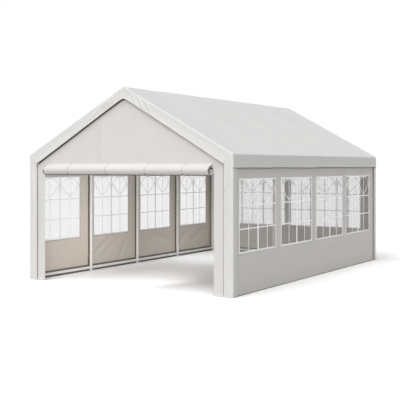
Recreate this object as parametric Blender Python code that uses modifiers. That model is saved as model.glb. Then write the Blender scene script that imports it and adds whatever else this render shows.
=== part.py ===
"""Marquee tent: a steel tube frame in a white sheet cover, with windowed walls and a rolled-up front door.

Metres, +Z up. The ground is at z = 0, the doorway faces -Y, and the origin is under the middle of the
whole object. Thin sheeting is drawn CLOTH thick, and pieces that touch keep a gap of GAP between them.
"""

import math

import bmesh
import bpy
from mathutils import Vector

# Driving sizes of the cover
WIDTH = 4.000
LENGTH = 6.000
EAVE_HEIGHT = 2.120
RIDGE_HEIGHT = 3.200
VALANCE_DEPTH = 0.210
CLOTH = 0.004
GAP = 0.0003

# Gable bands, which are the roof cover's end flaps and go down the corner posts as leg covers
LEG_COVER_WIDTH = 0.160
LEG_COVER_RETURN = 0.120
BAND_DROP_AT_RIDGE = 0.183
BAND_CORNER_HEIGHT = 1.975
LEG_COVER_FOOT = 0.008

# Walls
SIDE_WALL_INSET = 0.028
END_WALL_INSET = 0.030
WALL_HEM_HEIGHT = 0.012
DOORWAY_HALF_WIDTH = 1.675
DOORWAY_HEIGHT = 1.875

# Windows: sill and head above the ground, then each wall's first edge, width and pitch
SILL_HEIGHT = 0.630
HEAD_HEIGHT = 1.750
RIGHT_WINDOWS = {"first": 0.230, "width": 1.225, "pitch": 1.405, "count": 4}
LEFT_WINDOWS = {"first": 0.205, "width": 1.090, "pitch": 1.490, "count": 4}
BACK_WINDOW_WIDTH = 1.620
BACK_CENTRE_STRIP = 0.120
PANE = 0.003
PANE_LAP = 0.020

# Frame tubes and the sleeves of their fittings
TUBE_RADIUS = 0.025
RAIL_RADIUS = 0.025
SLEEVE_RADIUS = 0.029
SLEEVE_REACH = 0.110
SOCKET_START = 0.032
PURLIN_SLEEVE_HALF = 0.065
POST_INSET = 0.100
TRUSSES = 5
FOOT_RADIUS = 0.045
FOOT_THICKNESS = 0.005
RAIL_HEIGHT = 0.053
RAIL_SLEEVE_HALF = 0.035
SIDES = 16

# Rolled-up door and the straps sewn to the front panel
ROLL_RADIUS = 0.073
ROLL_TURNS = 2.75
ROLL_PITCH = 0.0165
ROLL_LEFT = -1.615
ROLL_RIGHT = 1.655
ROLL_CENTRE_HEIGHT = 1.887
STRAP_THICKNESS = 0.003
STRAP_WIDTH = 0.024
STRAP_SEWN_IN = 0.001
STRAP_PLACES = (-1.080, -0.300, 0.470, 1.160)

# Worked out from the sizes above
SLOPE = math.atan2(RIDGE_HEIGHT - EAVE_HEIGHT, WIDTH / 2)
UNDER_RIDGE = RIDGE_HEIGHT - CLOTH / math.cos(SLOPE)
STRAP_RADIUS = ROLL_RADIUS + GAP + STRAP_THICKNESS
ROLL_PROUD = 2 * STRAP_RADIUS - STRAP_SEWN_IN - END_WALL_INSET
FRONT = -LENGTH / 2 + ROLL_PROUD / 2
BACK = LENGTH / 2 + ROLL_PROUD / 2
FRONT_PANEL_FACE = FRONT + END_WALL_INSET
ROLL_Y = FRONT_PANEL_FACE - STRAP_RADIUS + STRAP_SEWN_IN
FIRST_TRUSS = FRONT_PANEL_FACE + CLOTH + GAP + SLEEVE_RADIUS
LAST_TRUSS = BACK - END_WALL_INSET - CLOTH - GAP - SLEEVE_RADIUS
POST_X = WIDTH / 2 - POST_INSET
WALL_FACE = WIDTH / 2 - SIDE_WALL_INSET
LEG_COVER_X = WIDTH / 2 - CLOTH - GAP
END_WALL_HALF = WALL_FACE - CLOTH - GAP


def under_roof(x):
    """Height of the roof cover's underside at a distance x from the middle."""
    return UNDER_RIDGE - abs(x) * math.tan(SLOPE)


def frame_axis(x):
    """Height of the rafters' axis at x, so that the fittings' sleeves carry the cover."""
    return under_roof(x) - (SLEEVE_RADIUS + GAP) / math.cos(SLOPE)


EAVE_NODE = frame_axis(POST_X)
RIDGE_NODE = frame_axis(0)
TRUSS_PLACES = [
    FIRST_TRUSS + n * (LAST_TRUSS - FIRST_TRUSS) / (TRUSSES - 1) for n in range(TRUSSES)
]


def clear_scene():
    """Removes the objects that are there and returns the collections for the parts and the cutters."""
    for obj in list(bpy.data.objects):
        bpy.data.objects.remove(obj)
    made = []
    for name in ("marquee_tent", "cutters"):
        made.append(bpy.data.collections.new(name))
        bpy.context.scene.collection.children.link(made[-1])
    return made


PARTS, CUTTERS = clear_scene()


def material(name, colour, roughness, metallic=0.0, alpha=1.0):
    made = bpy.data.materials.new(name)
    made.use_nodes = True
    shader = made.node_tree.nodes["Principled BSDF"]
    shader.inputs["Base Color"].default_value = (*colour, 1.0)
    shader.inputs["Roughness"].default_value = roughness
    shader.inputs["Metallic"].default_value = metallic
    shader.inputs["Alpha"].default_value = alpha
    return made


COVER_SHEET = material("white_cover_sheet", (0.80, 0.79, 0.77), 0.55)
WALL_SHEET = material("white_wall_sheet", (0.76, 0.75, 0.72), 0.60)
CLEAR_SHEET = material("clear_window_sheet", (0.85, 0.87, 0.90), 0.15, alpha=0.35)
PAINTED_STEEL = material("white_painted_steel", (0.78, 0.78, 0.77), 0.35, metallic=0.2)


def place(obj, name, surface, collection=None):
    """Names an object, gives it its material and moves it to a collection."""
    obj.name = name
    obj.data.name = name
    obj.data.materials.clear()
    obj.data.materials.append(surface)
    for old in list(obj.users_collection):
        old.objects.unlink(obj)
    (collection or PARTS).objects.link(obj)
    return obj


def helper(obj, name):
    """A cutter or a piece that is joined to another: it is not a part by itself."""
    place(obj, name, PAINTED_STEEL, CUTTERS)
    obj.hide_render = True
    obj.display_type = "WIRE"
    return obj


def sheet(name, surface, outline, holes, depth, position, facing_side=False):
    """A flat piece: its outline and holes are drawn upright, and it is depth thick about position.

    The outline is in x and z, or in y and z for a piece that faces the side.
    """
    curve = bpy.data.curves.new(name, "CURVE")
    curve.dimensions = "2D"
    curve.fill_mode = "BOTH"
    curve.extrude = depth / 2
    for points in [outline, *holes]:
        spline = curve.splines.new("POLY")
        spline.points.add(len(points) - 1)
        for point, (across, up) in zip(spline.points, points):
            point.co = (across, up, 0, 1)
        spline.use_cyclic_u = True
    obj = bpy.data.objects.new(name, curve)
    obj.rotation_euler = (math.pi / 2, 0, math.pi / 2 if facing_side else 0)
    obj.location = (position, 0, 0) if facing_side else (0, position, 0)
    return place(obj, name, surface)


def as_mesh(curve_object):
    """The curve object made a closed mesh, so that it can be cut and joined."""
    name = curve_object.name
    surface = curve_object.data.materials[0]
    bpy.context.view_layer.update()
    graph = bpy.context.evaluated_depsgraph_get()
    mesh = bpy.data.meshes.new_from_object(curve_object.evaluated_get(graph))
    edit = bmesh.new()
    edit.from_mesh(mesh)
    bmesh.ops.remove_doubles(edit, verts=edit.verts, dist=0.00001)
    edit.to_mesh(mesh)
    edit.free()
    obj = bpy.data.objects.new(name + "_mesh", mesh)
    obj.matrix_world = curve_object.matrix_world.copy()
    bpy.data.objects.remove(curve_object)
    return place(obj, name, surface)


def rod_mesh(name, ends, radius):
    """A mesh of separate straight rods, one for each pair of end points."""
    edit = bmesh.new()
    for start, end in ends:
        start, end = Vector(start), Vector(end)
        run = end - start
        turn = run.to_track_quat("Z", "Y").to_matrix().to_4x4()
        turn.translation = (start + end) / 2
        bmesh.ops.create_cone(
            edit, cap_ends=True, segments=SIDES, radius1=radius, radius2=radius, depth=run.length, matrix=turn
        )
    mesh = bpy.data.meshes.new(name)
    edit.to_mesh(mesh)
    edit.free()
    mesh.shade_smooth()
    mesh.set_sharp_from_angle(angle=math.radians(40))
    return bpy.data.objects.new(name, mesh)


def rod(name, start, end, radius):
    return place(rod_mesh(name, [(start, end)], radius), name, PAINTED_STEEL)


def join(obj, other, operation):
    """Adds a Boolean modifier: UNION joins the other piece on, DIFFERENCE cuts it out."""
    made = obj.modifiers.new(other.name, "BOOLEAN")
    made.operation = operation
    made.object = other
    made.solver = "EXACT"


def turned(name, surface, profile):
    """A piece turned about the z axis; the profile runs down its outer side as (radius, height)."""
    mesh = bpy.data.meshes.new(name)
    mesh.from_pydata([(r, 0, z) for r, z in profile], [(n, n + 1) for n in range(len(profile) - 1)], [])
    obj = bpy.data.objects.new(name, mesh)
    spin = obj.modifiers.new("turn", "SCREW")
    spin.axis = "Z"
    spin.steps = spin.render_steps = SIDES
    spin.use_merge_vertices = True
    spin.merge_threshold = 0.0001
    return place(obj, name, surface)


# Frame


def posts():
    """Ten posts, each a tube on a round foot, and its top is inside the eave fitting's socket."""
    top = EAVE_NODE - SOCKET_START - GAP
    profile = [(0, top), (TUBE_RADIUS, top), (TUBE_RADIUS, FOOT_THICKNESS)]
    profile += [(FOOT_RADIUS, FOOT_THICKNESS), (FOOT_RADIUS, 0), (0, 0)]
    for side, x in (("left", -POST_X), ("right", POST_X)):
        for n, y in enumerate(TRUSS_PLACES, 1):
            post = turned(f"post_{side}_{n}", PAINTED_STEEL, profile)
            post.location = (x, y, 0)


def rafters():
    """Ten rafters, whose ends are inside the sockets of the eave and ridge fittings."""
    inset = SOCKET_START + GAP
    for side, sign in (("left", -1), ("right", 1)):
        for n, y in enumerate(TRUSS_PLACES, 1):
            eave = Vector((sign * POST_X, y, EAVE_NODE))
            ridge = Vector((0, y, RIDGE_NODE))
            along = (ridge - eave).normalized()
            rod(f"rafter_{side}_{n}", eave + along * inset, ridge - along * inset, TUBE_RADIUS)


def purlin(name, x, z, arms):
    """A tube along the tent with a fitting at each truss; arms point from the fitting to its tubes."""
    bar = rod(name, (x, FIRST_TRUSS, z), (x, LAST_TRUSS, z), RAIL_RADIUS)
    centres = [Vector((x, y, z)) for y in TRUSS_PLACES]
    collars = []
    for n, centre in enumerate(centres):
        before = SLEEVE_RADIUS if n == 0 else PURLIN_SLEEVE_HALF
        after = SLEEVE_RADIUS if n == TRUSSES - 1 else PURLIN_SLEEVE_HALF
        collars.append((centre - Vector((0, before, 0)), centre + Vector((0, after, 0))))
    join(bar, helper(rod_mesh(f"{name}_collars", collars, SLEEVE_RADIUS), f"{name}_collars"), "UNION")
    for n, arm in enumerate(arms, 1):
        sleeves = [(centre, centre + arm * SLEEVE_REACH) for centre in centres]
        joined = helper(rod_mesh(f"{name}_sleeves_{n}", sleeves, SLEEVE_RADIUS), f"{name}_sleeves_{n}")
        join(bar, joined, "UNION")
    for n, arm in enumerate(arms, 1):
        bores = [(centre + arm * SOCKET_START, centre + arm * 2 * SLEEVE_REACH) for centre in centres]
        cutter = helper(rod_mesh(f"{name}_sockets_{n}", bores, TUBE_RADIUS + GAP), f"{name}_sockets_{n}")
        join(bar, cutter, "DIFFERENCE")


def purlins():
    up_slope = Vector((math.cos(SLOPE), 0, math.sin(SLOPE)))
    down = Vector((0, 0, -1))
    purlin("eave_purlin_left", -POST_X, EAVE_NODE, [down, up_slope])
    purlin("eave_purlin_right", POST_X, EAVE_NODE, [down, Vector((-up_slope.x, 0, up_slope.z))])
    purlin("ridge_purlin", 0, RIDGE_NODE, [Vector((s * up_slope.x, 0, -up_slope.z)) for s in (-1, 1)])


def ground_rails():
    """Rails along the foot of the side and back walls; the posts stand in the side rails' sleeves."""
    for side, x in (("left", -POST_X), ("right", POST_X)):
        name = f"ground_rail_{side}"
        bar = rod(name, (x, FIRST_TRUSS, RAIL_HEIGHT), (x, LAST_TRUSS, RAIL_HEIGHT), RAIL_RADIUS)
        low, high = RAIL_HEIGHT - RAIL_SLEEVE_HALF, RAIL_HEIGHT + RAIL_SLEEVE_HALF
        sleeves = [((x, y, low), (x, y, high)) for y in TRUSS_PLACES]
        bores = [((x, y, low - CLOTH), (x, y, high + CLOTH)) for y in TRUSS_PLACES]
        join(bar, helper(rod_mesh(f"{name}_sleeves", sleeves, SLEEVE_RADIUS), f"{name}_sleeves"), "UNION")
        join(bar, helper(rod_mesh(f"{name}_bores", bores, TUBE_RADIUS + GAP), f"{name}_bores"), "DIFFERENCE")
    end = POST_X - SLEEVE_RADIUS - GAP
    rod("ground_rail_back", (-end, LAST_TRUSS, RAIL_HEIGHT), (end, LAST_TRUSS, RAIL_HEIGHT), RAIL_RADIUS)


# Cover and walls


def roof_cover():
    """Both slopes and the side valances in one piece, drawn as its section along the tent."""
    edge, hem = WIDTH / 2, EAVE_HEIGHT - VALANCE_DEPTH
    outer = [(-edge, hem), (-edge, EAVE_HEIGHT), (0, RIDGE_HEIGHT), (edge, EAVE_HEIGHT), (edge, hem)]
    inside = edge - CLOTH
    inner = [(inside, hem), (inside, under_roof(inside)), (0, UNDER_RIDGE)]
    inner += [(-inside, under_roof(inside)), (-inside, hem)]
    sheet("roof_cover", COVER_SHEET, outer + inner, [], LENGTH, (FRONT + BACK) / 2)


def gable_band(name, face, inward):
    """The end flap under the roof's edge, with a leg cover round each corner post.

    It is a thin open surface in the end plane, with a return on each side, made thick by Solidify.
    """
    inner_x = LEG_COVER_X - LEG_COVER_WIDTH
    ridge = under_roof(0) - GAP
    corner = under_roof(LEG_COVER_X) - GAP
    points, faces = [], []
    for sign in (-1, 1):
        first = len(points)
        points += [(0, face, ridge), (0, face, ridge - BAND_DROP_AT_RIDGE)]
        points += [(sign * LEG_COVER_X, face, corner), (sign * inner_x, face, BAND_CORNER_HEIGHT)]
        points += [(sign * LEG_COVER_X, face, LEG_COVER_FOOT), (sign * inner_x, face, LEG_COVER_FOOT)]
        back = face + inward * LEG_COVER_RETURN
        points += [(sign * LEG_COVER_X, back, corner), (sign * LEG_COVER_X, back, LEG_COVER_FOOT)]
        quads = [(0, 1, 3, 2), (2, 3, 5, 4), (2, 4, 7, 6)]
        if sign * inward > 0:
            quads = [tuple(reversed(quad)) for quad in quads]
        faces += [tuple(first + n for n in quad) for quad in quads]
    mesh = bpy.data.meshes.new(name)
    mesh.from_pydata(points, [], faces)
    edit = bmesh.new()
    edit.from_mesh(mesh)
    bmesh.ops.remove_doubles(edit, verts=edit.verts, dist=0.00001)
    edit.to_mesh(mesh)
    edit.free()
    band = place(bpy.data.objects.new(name, mesh), name, COVER_SHEET)
    thicken = band.modifiers.new("cloth", "SOLIDIFY")
    thicken.thickness = CLOTH
    thicken.offset = 1.0
    thicken.use_even_offset = True


def window_edges(windows):
    """(start, end) of each window along a side wall, measured from the tent's front face."""
    starts = [windows["first"] + n * windows["pitch"] for n in range(windows["count"])]
    return [(FRONT + start, FRONT + start + windows["width"]) for start in starts]


def pane(name, centre, size):
    """A clear sheet that laps the edges of its window on the inside of the wall."""
    bpy.ops.mesh.primitive_cube_add(size=1, location=centre)
    obj = bpy.context.object
    obj.scale = size
    bpy.ops.object.transform_apply(location=False, rotation=False, scale=True)
    return place(obj, name, CLEAR_SHEET)


def rectangle(low, high):
    return [(low, SILL_HEIGHT), (high, SILL_HEIGHT), (high, HEAD_HEIGHT), (low, HEAD_HEIGHT)]


def side_wall(side, sign, windows):
    """A side wall with its window holes, and a pane behind each."""
    top = under_roof(WALL_FACE) - GAP
    ends = (FRONT + END_WALL_INSET + CLOTH + GAP, BACK - END_WALL_INSET - CLOTH - GAP)
    outline = [(ends[0], WALL_HEM_HEIGHT), (ends[1], WALL_HEM_HEIGHT), (ends[1], top), (ends[0], top)]
    edges = window_edges(windows)
    holes = [rectangle(*edge) for edge in edges]
    middle = sign * (WALL_FACE - CLOTH / 2)
    sheet(f"side_wall_{side}", WALL_SHEET, outline, holes, CLOTH, middle, facing_side=True)
    pane_x = sign * (WALL_FACE - CLOTH - GAP - PANE / 2)
    height = HEAD_HEIGHT - SILL_HEIGHT + 2 * PANE_LAP
    for n, (low, high) in enumerate(edges, 1):
        centre = (pane_x, (low + high) / 2, (SILL_HEIGHT + HEAD_HEIGHT) / 2)
        pane(f"window_{side}_{n}", centre, (PANE, high - low + 2 * PANE_LAP, height))


def end_wall_outline():
    """The full gable outline of an end wall, from hem to roof."""
    shoulder = under_roof(END_WALL_HALF) - GAP
    points = [(-END_WALL_HALF, WALL_HEM_HEIGHT), (END_WALL_HALF, WALL_HEM_HEIGHT)]
    return points + [(END_WALL_HALF, shoulder), (0, under_roof(0) - GAP), (-END_WALL_HALF, shoulder)]


def back_wall():
    """The closed back gable wall with two windows, one each side of its middle strip."""
    inner = BACK_CENTRE_STRIP / 2
    outer = inner + BACK_WINDOW_WIDTH
    middle = BACK - END_WALL_INSET - CLOTH / 2
    holes = [rectangle(-outer, -inner), rectangle(inner, outer)]
    sheet("back_wall", WALL_SHEET, end_wall_outline(), holes, CLOTH, middle)
    pane_y = BACK - END_WALL_INSET - CLOTH - GAP - PANE / 2
    size = (BACK_WINDOW_WIDTH + 2 * PANE_LAP, PANE, HEAD_HEIGHT - SILL_HEIGHT + 2 * PANE_LAP)
    for side, x in (("left", -(inner + outer) / 2), ("right", (inner + outer) / 2)):
        pane(f"window_back_{side}", (x, pane_y, (SILL_HEIGHT + HEAD_HEIGHT) / 2), size)


def front_panel():
    """The front gable panel round the doorway, with the straps that hold the rolled door sewn on."""
    outline = end_wall_outline()
    doorway = [(DOORWAY_HALF_WIDTH, WALL_HEM_HEIGHT), (DOORWAY_HALF_WIDTH, DOORWAY_HEIGHT)]
    doorway += [(-DOORWAY_HALF_WIDTH, DOORWAY_HEIGHT), (-DOORWAY_HALF_WIDTH, WALL_HEM_HEIGHT)]
    corners = [outline[0], *reversed(doorway), *outline[1:]]
    panel = as_mesh(sheet("front_panel", WALL_SHEET, corners, [], CLOTH, FRONT_PANEL_FACE + CLOTH / 2))
    inner = ROLL_RADIUS + GAP
    half = STRAP_WIDTH / 2
    section = [(STRAP_RADIUS, half), (STRAP_RADIUS, -half), (inner, -half), (inner, half), (STRAP_RADIUS, half)]
    for n, x in enumerate(STRAP_PLACES, 1):
        strap = helper(turned(f"strap_{n}", WALL_SHEET, section), f"strap_{n}")
        strap.rotation_euler = (0, math.pi / 2, 0)
        strap.location = (x, ROLL_Y, ROLL_CENTRE_HEIGHT)
        join(panel, strap, "UNION")


def door_roll():
    """The door rolled up outwards: a spiral along the top of the doorway, which starts beside the panel."""
    steps = round(ROLL_TURNS * SIDES)
    outer, inner = [], []
    for n in range(steps + 1):
        turn = n / SIDES
        angle = -turn * 2 * math.pi
        radius = ROLL_RADIUS - ROLL_PITCH * turn
        for points, r in ((outer, radius), (inner, radius - CLOTH)):
            points.append((ROLL_Y + r * math.cos(angle), ROLL_CENTRE_HEIGHT + r * math.sin(angle)))
    outline = outer + inner[::-1]
    middle = (ROLL_LEFT + ROLL_RIGHT) / 2
    sheet("door_roll", COVER_SHEET, outline, [], ROLL_RIGHT - ROLL_LEFT, middle, facing_side=True)


posts()
rafters()
purlins()
ground_rails()
roof_cover()
gable_band("front_gable_band", FRONT, 1)
gable_band("back_gable_band", BACK, -1)
side_wall("right", 1, RIGHT_WINDOWS)
side_wall("left", -1, LEFT_WINDOWS)
back_wall()
front_panel()
door_roll()
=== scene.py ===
"""Looks of a marquee tent: white coated sheet on a painted steel tube frame, with windowed walls.

Metres, +Z up, the doorway faces -Y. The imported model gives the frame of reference, and every piece here
sits where the solid that it stands for sits.
"""

from __future__ import annotations

import logging
import math
from dataclasses import dataclass
from enum import Enum
from typing import Sequence

import bmesh
import bpy
import numpy as np
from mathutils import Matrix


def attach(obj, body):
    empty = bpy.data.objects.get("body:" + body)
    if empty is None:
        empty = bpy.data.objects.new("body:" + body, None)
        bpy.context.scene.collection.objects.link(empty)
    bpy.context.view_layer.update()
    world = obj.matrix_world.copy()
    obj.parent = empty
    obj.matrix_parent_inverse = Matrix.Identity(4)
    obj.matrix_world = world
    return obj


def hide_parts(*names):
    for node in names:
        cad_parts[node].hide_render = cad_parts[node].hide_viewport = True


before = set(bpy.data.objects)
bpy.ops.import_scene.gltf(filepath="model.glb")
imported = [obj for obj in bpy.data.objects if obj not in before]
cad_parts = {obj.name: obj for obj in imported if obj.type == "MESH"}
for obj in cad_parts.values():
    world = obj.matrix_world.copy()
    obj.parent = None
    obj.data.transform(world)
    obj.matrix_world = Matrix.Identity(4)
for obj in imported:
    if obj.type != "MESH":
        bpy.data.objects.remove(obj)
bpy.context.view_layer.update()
LOG = logging.getLogger("marquee_tent")
Array = np.ndarray
Pair = tuple[float, float]
Crease = tuple[Pair, Pair, float, float]
Colour = tuple[float, float, float]
Place = tuple[float, float, float]
Piece = bpy.types.Object
Socket = bpy.types.NodeSocket


class Facing(Enum):
    """A choice among the tent's faces."""

    @property
    def word(self) -> str:
        """Its name in lower case, as the nodes have it."""
        return self.name.lower()


class Side(Facing):
    """The two long walls, by the sign of their x."""

    LEFT = -1
    RIGHT = 1


class End(Facing):
    """The two gable ends, by the sign of their y."""

    FRONT = -1
    BACK = 1


class Held(Enum):
    STRETCHED = "stretched"
    HUNG = "hung"
    FOLDED = "folded"


@dataclass(frozen=True)
class Tent:
    """The sizes that all the sub-assemblies share, as the solids have them."""

    width: float = 4.000
    length: float = 6.000
    eave: float = 2.120
    ridge: float = 3.200
    valance: float = 0.204
    rise: float = 0.004
    solid_cloth: float = 0.004
    cloth: float = 0.0018
    gap: float = 0.0003
    tape: float = 0.0008
    hem_rise: float = 0.0009
    hem_step: float = 0.0015
    wall_inset: float = 0.028
    end_inset: float = 0.030
    hem_height: float = 0.003
    sill: float = 0.630
    head: float = 1.750
    door_head: float = 1.875
    post_x: float = 1.900
    tube: float = 0.025
    rail: float = 0.025
    sleeve: float = 0.029
    front: float = -2.9392
    back: float = 3.0608
    first_truss: float = -2.8759
    last_truss: float = 2.9975
    trusses: int = 5

    @property
    def tangent(self) -> float:
        """Rise of the roof for each metre across."""
        return (self.ridge - self.eave) / (self.width / 2)

    @property
    def cosine(self) -> float:
        """Cosine of the roof's slope."""
        return math.cos(math.atan(self.tangent))

    @property
    def truss_places(self) -> Array:
        """Where the trusses stand along the tent."""
        return np.linspace(self.first_truss, self.last_truss, self.trusses)

    @property
    def wall_face(self) -> float:
        """Distance of the side walls' outer face from the middle."""
        return self.width / 2 - self.wall_inset

    def under_roof(self, x: Array | float) -> Array | float:
        """Height of the solid roof's underside: a straight fall from the ridge on both sides.

        Args:
            x: Distance from the middle, of either sign.

        Returns:
            The height at each x.
        """
        return self.ridge - self.solid_cloth / self.cosine - np.abs(x) * self.tangent


TENT = Tent()


# Shapes as numbers


def stacked(*numbers: Array | float) -> Array:
    """Arrays brought to one shape and stacked, so that the last axis holds the numbers of a point."""
    return np.stack(np.broadcast_arrays(*numbers), axis=-1)


def cell_middles(grid: Array) -> Array:
    """The mean of two opposite corners of every cell of a grid."""
    return (grid[:-1, :-1] + grid[1:, 1:]) / 2


def two_paced(split: float, coarse: int, fine: int) -> Array:
    """Shares from 0 to 1: coarse places up to split, and fine ones from there on."""
    return np.concatenate([np.linspace(0, split, coarse)[:-1], np.linspace(split, 1, fine)])


def ruled(breaks: Sequence[float], step: float) -> Array:
    """Positions from the first break to the last, through every break.

    Args:
        breaks: Rising positions that the result has to hold.
        step: The widest spacing between two positions.

    Returns:
        The positions, evenly spaced between each two breaks.
    """
    runs = [
        np.linspace(low, high, max(1, math.ceil((high - low) / step - 1e-6)), endpoint=False)
        for low, high in zip(breaks, breaks[1:])
    ]
    return np.append(np.concatenate(runs), breaks[-1])


def smooth(low: float, high: float, x: Array) -> Array:
    """0 where x is below low and 1 where it is above high, with 3t^2 - 2t^3 between them."""
    t = np.clip((x - low) / (high - low), 0.0, 1.0)
    return t * t * (3 - 2 * t)


def crease(u: Array, v: Array, start: Pair, end: Pair, width: float) -> Array:
    """A soft fold along a straight line: a bell curve across it that fades towards both ends.

    Args:
        u: First coordinates on the cloth, in metres.
        v: Second coordinates on the cloth, in metres.
        start: Where the line starts.
        end: Where the line ends.
        width: Half the fold's width.

    Returns:
        Heights from 0 to 1: exp(-(distance / width)^2) times sin(pi t)^0.7 for t from 0 to 1 along the line.
    """
    run = np.array(end) - np.array(start)
    length = np.hypot(*run)
    along = ((u - start[0]) * run[0] + (v - start[1]) * run[1]) / length
    across = ((u - start[0]) * run[1] - (v - start[1]) * run[0]) / length
    t = np.clip(along / length, 0.0, 1.0)
    return np.exp(-((across / width) ** 2)) * np.sin(np.pi * t) ** 0.7


def slack(u: Array, v: Array, seed: int, wave: float, count: int = 9) -> Array:
    """A slow random swell: a sum of plane sine waves with seeded directions and phases, from about -1 to 1.

    Args:
        u: First coordinates on the cloth, in metres.
        v: Second coordinates on the cloth, in metres.
        seed: Chooses the directions and phases.
        wave: The mean wave length in metres.
        count: How many waves are summed.

    Returns:
        The swell at each point.
    """
    chance = np.random.default_rng(seed)
    total = np.zeros(np.broadcast(u, v).shape)
    for angle, phase, stretch in zip(
        chance.uniform(0, np.pi, count), chance.uniform(0, 2 * np.pi, count), chance.uniform(0.6, 1.7, count)
    ):
        k = 2 * np.pi / (wave * stretch)
        total += np.sin(k * (u * np.cos(angle) + v * np.sin(angle)) + phase)
    return total / math.sqrt(count) / 1.4


def hem(distance: Array, width: float, height: float) -> Array:
    """The step of a folded and welded hem: height within width of an edge, and nothing past it."""
    return height * (1 - smooth(width - TENT.hem_step, width, distance))


def straight_run(start: Array, end: Array, step: float) -> Array:
    """Points from start, which is left out, to end, step apart at most."""
    count = max(1, math.ceil(np.hypot(*(end - start)) / step))
    return start + (end - start) * np.linspace(0, 1, count + 1)[1:, None]


def rounded(corners: Sequence[Pair], radii: Sequence[float], step: float) -> Array:
    """A line through corners that are rounded with tangent arcs.

    Args:
        corners: The points, whose first and last are the ends.
        radii: The arc's radius at each inner corner.
        step: The widest spacing of points on the straight runs.

    Returns:
        Points as rows of two numbers, in order.
    """
    points = [np.array([corners[0]], float)]
    last = np.array(corners[0], float)
    for before, here, after, radius in zip(corners, corners[1:], corners[2:], radii):
        a, b, c = (np.array(p, float) for p in (before, here, after))
        come = (b - a) / np.hypot(*(b - a))
        go = (c - b) / np.hypot(*(c - b))
        turn = math.atan2(come[0] * go[1] - come[1] * go[0], come @ go)
        tangent = radius * math.tan(abs(turn) / 2)
        entry = b - come * tangent
        points.append(straight_run(last, entry, step))
        inward = np.array([-come[1], come[0]]) * math.copysign(1, turn)
        centre = entry + inward * radius
        angles = np.linspace(0, turn, 7)[1:]
        arm = entry - centre
        cosine, sine = np.cos(angles), np.sin(angles)
        points.append(centre + stacked(arm[0] * cosine - arm[1] * sine, arm[0] * sine + arm[1] * cosine))
        last = points[-1][-1]
    points.append(straight_run(last, np.array(corners[-1], float), step))
    return np.concatenate(points)


def run_length(points: Array) -> Array:
    """Distance along a line of points from its first one."""
    return np.append(0.0, np.cumsum(np.linalg.norm(np.diff(points, axis=0), axis=1)))


def unit(vectors: Array) -> Array:
    """Vectors of length 1 in the same directions."""
    return vectors / np.maximum(np.linalg.norm(vectors, axis=-1, keepdims=True), 1e-12)


def grid_normals(points: Array) -> Array:
    """Normals of a grid of points: the cross product of its differences along columns and along rows."""
    return unit(np.cross(np.gradient(points, axis=1), np.gradient(points, axis=0)))


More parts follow.
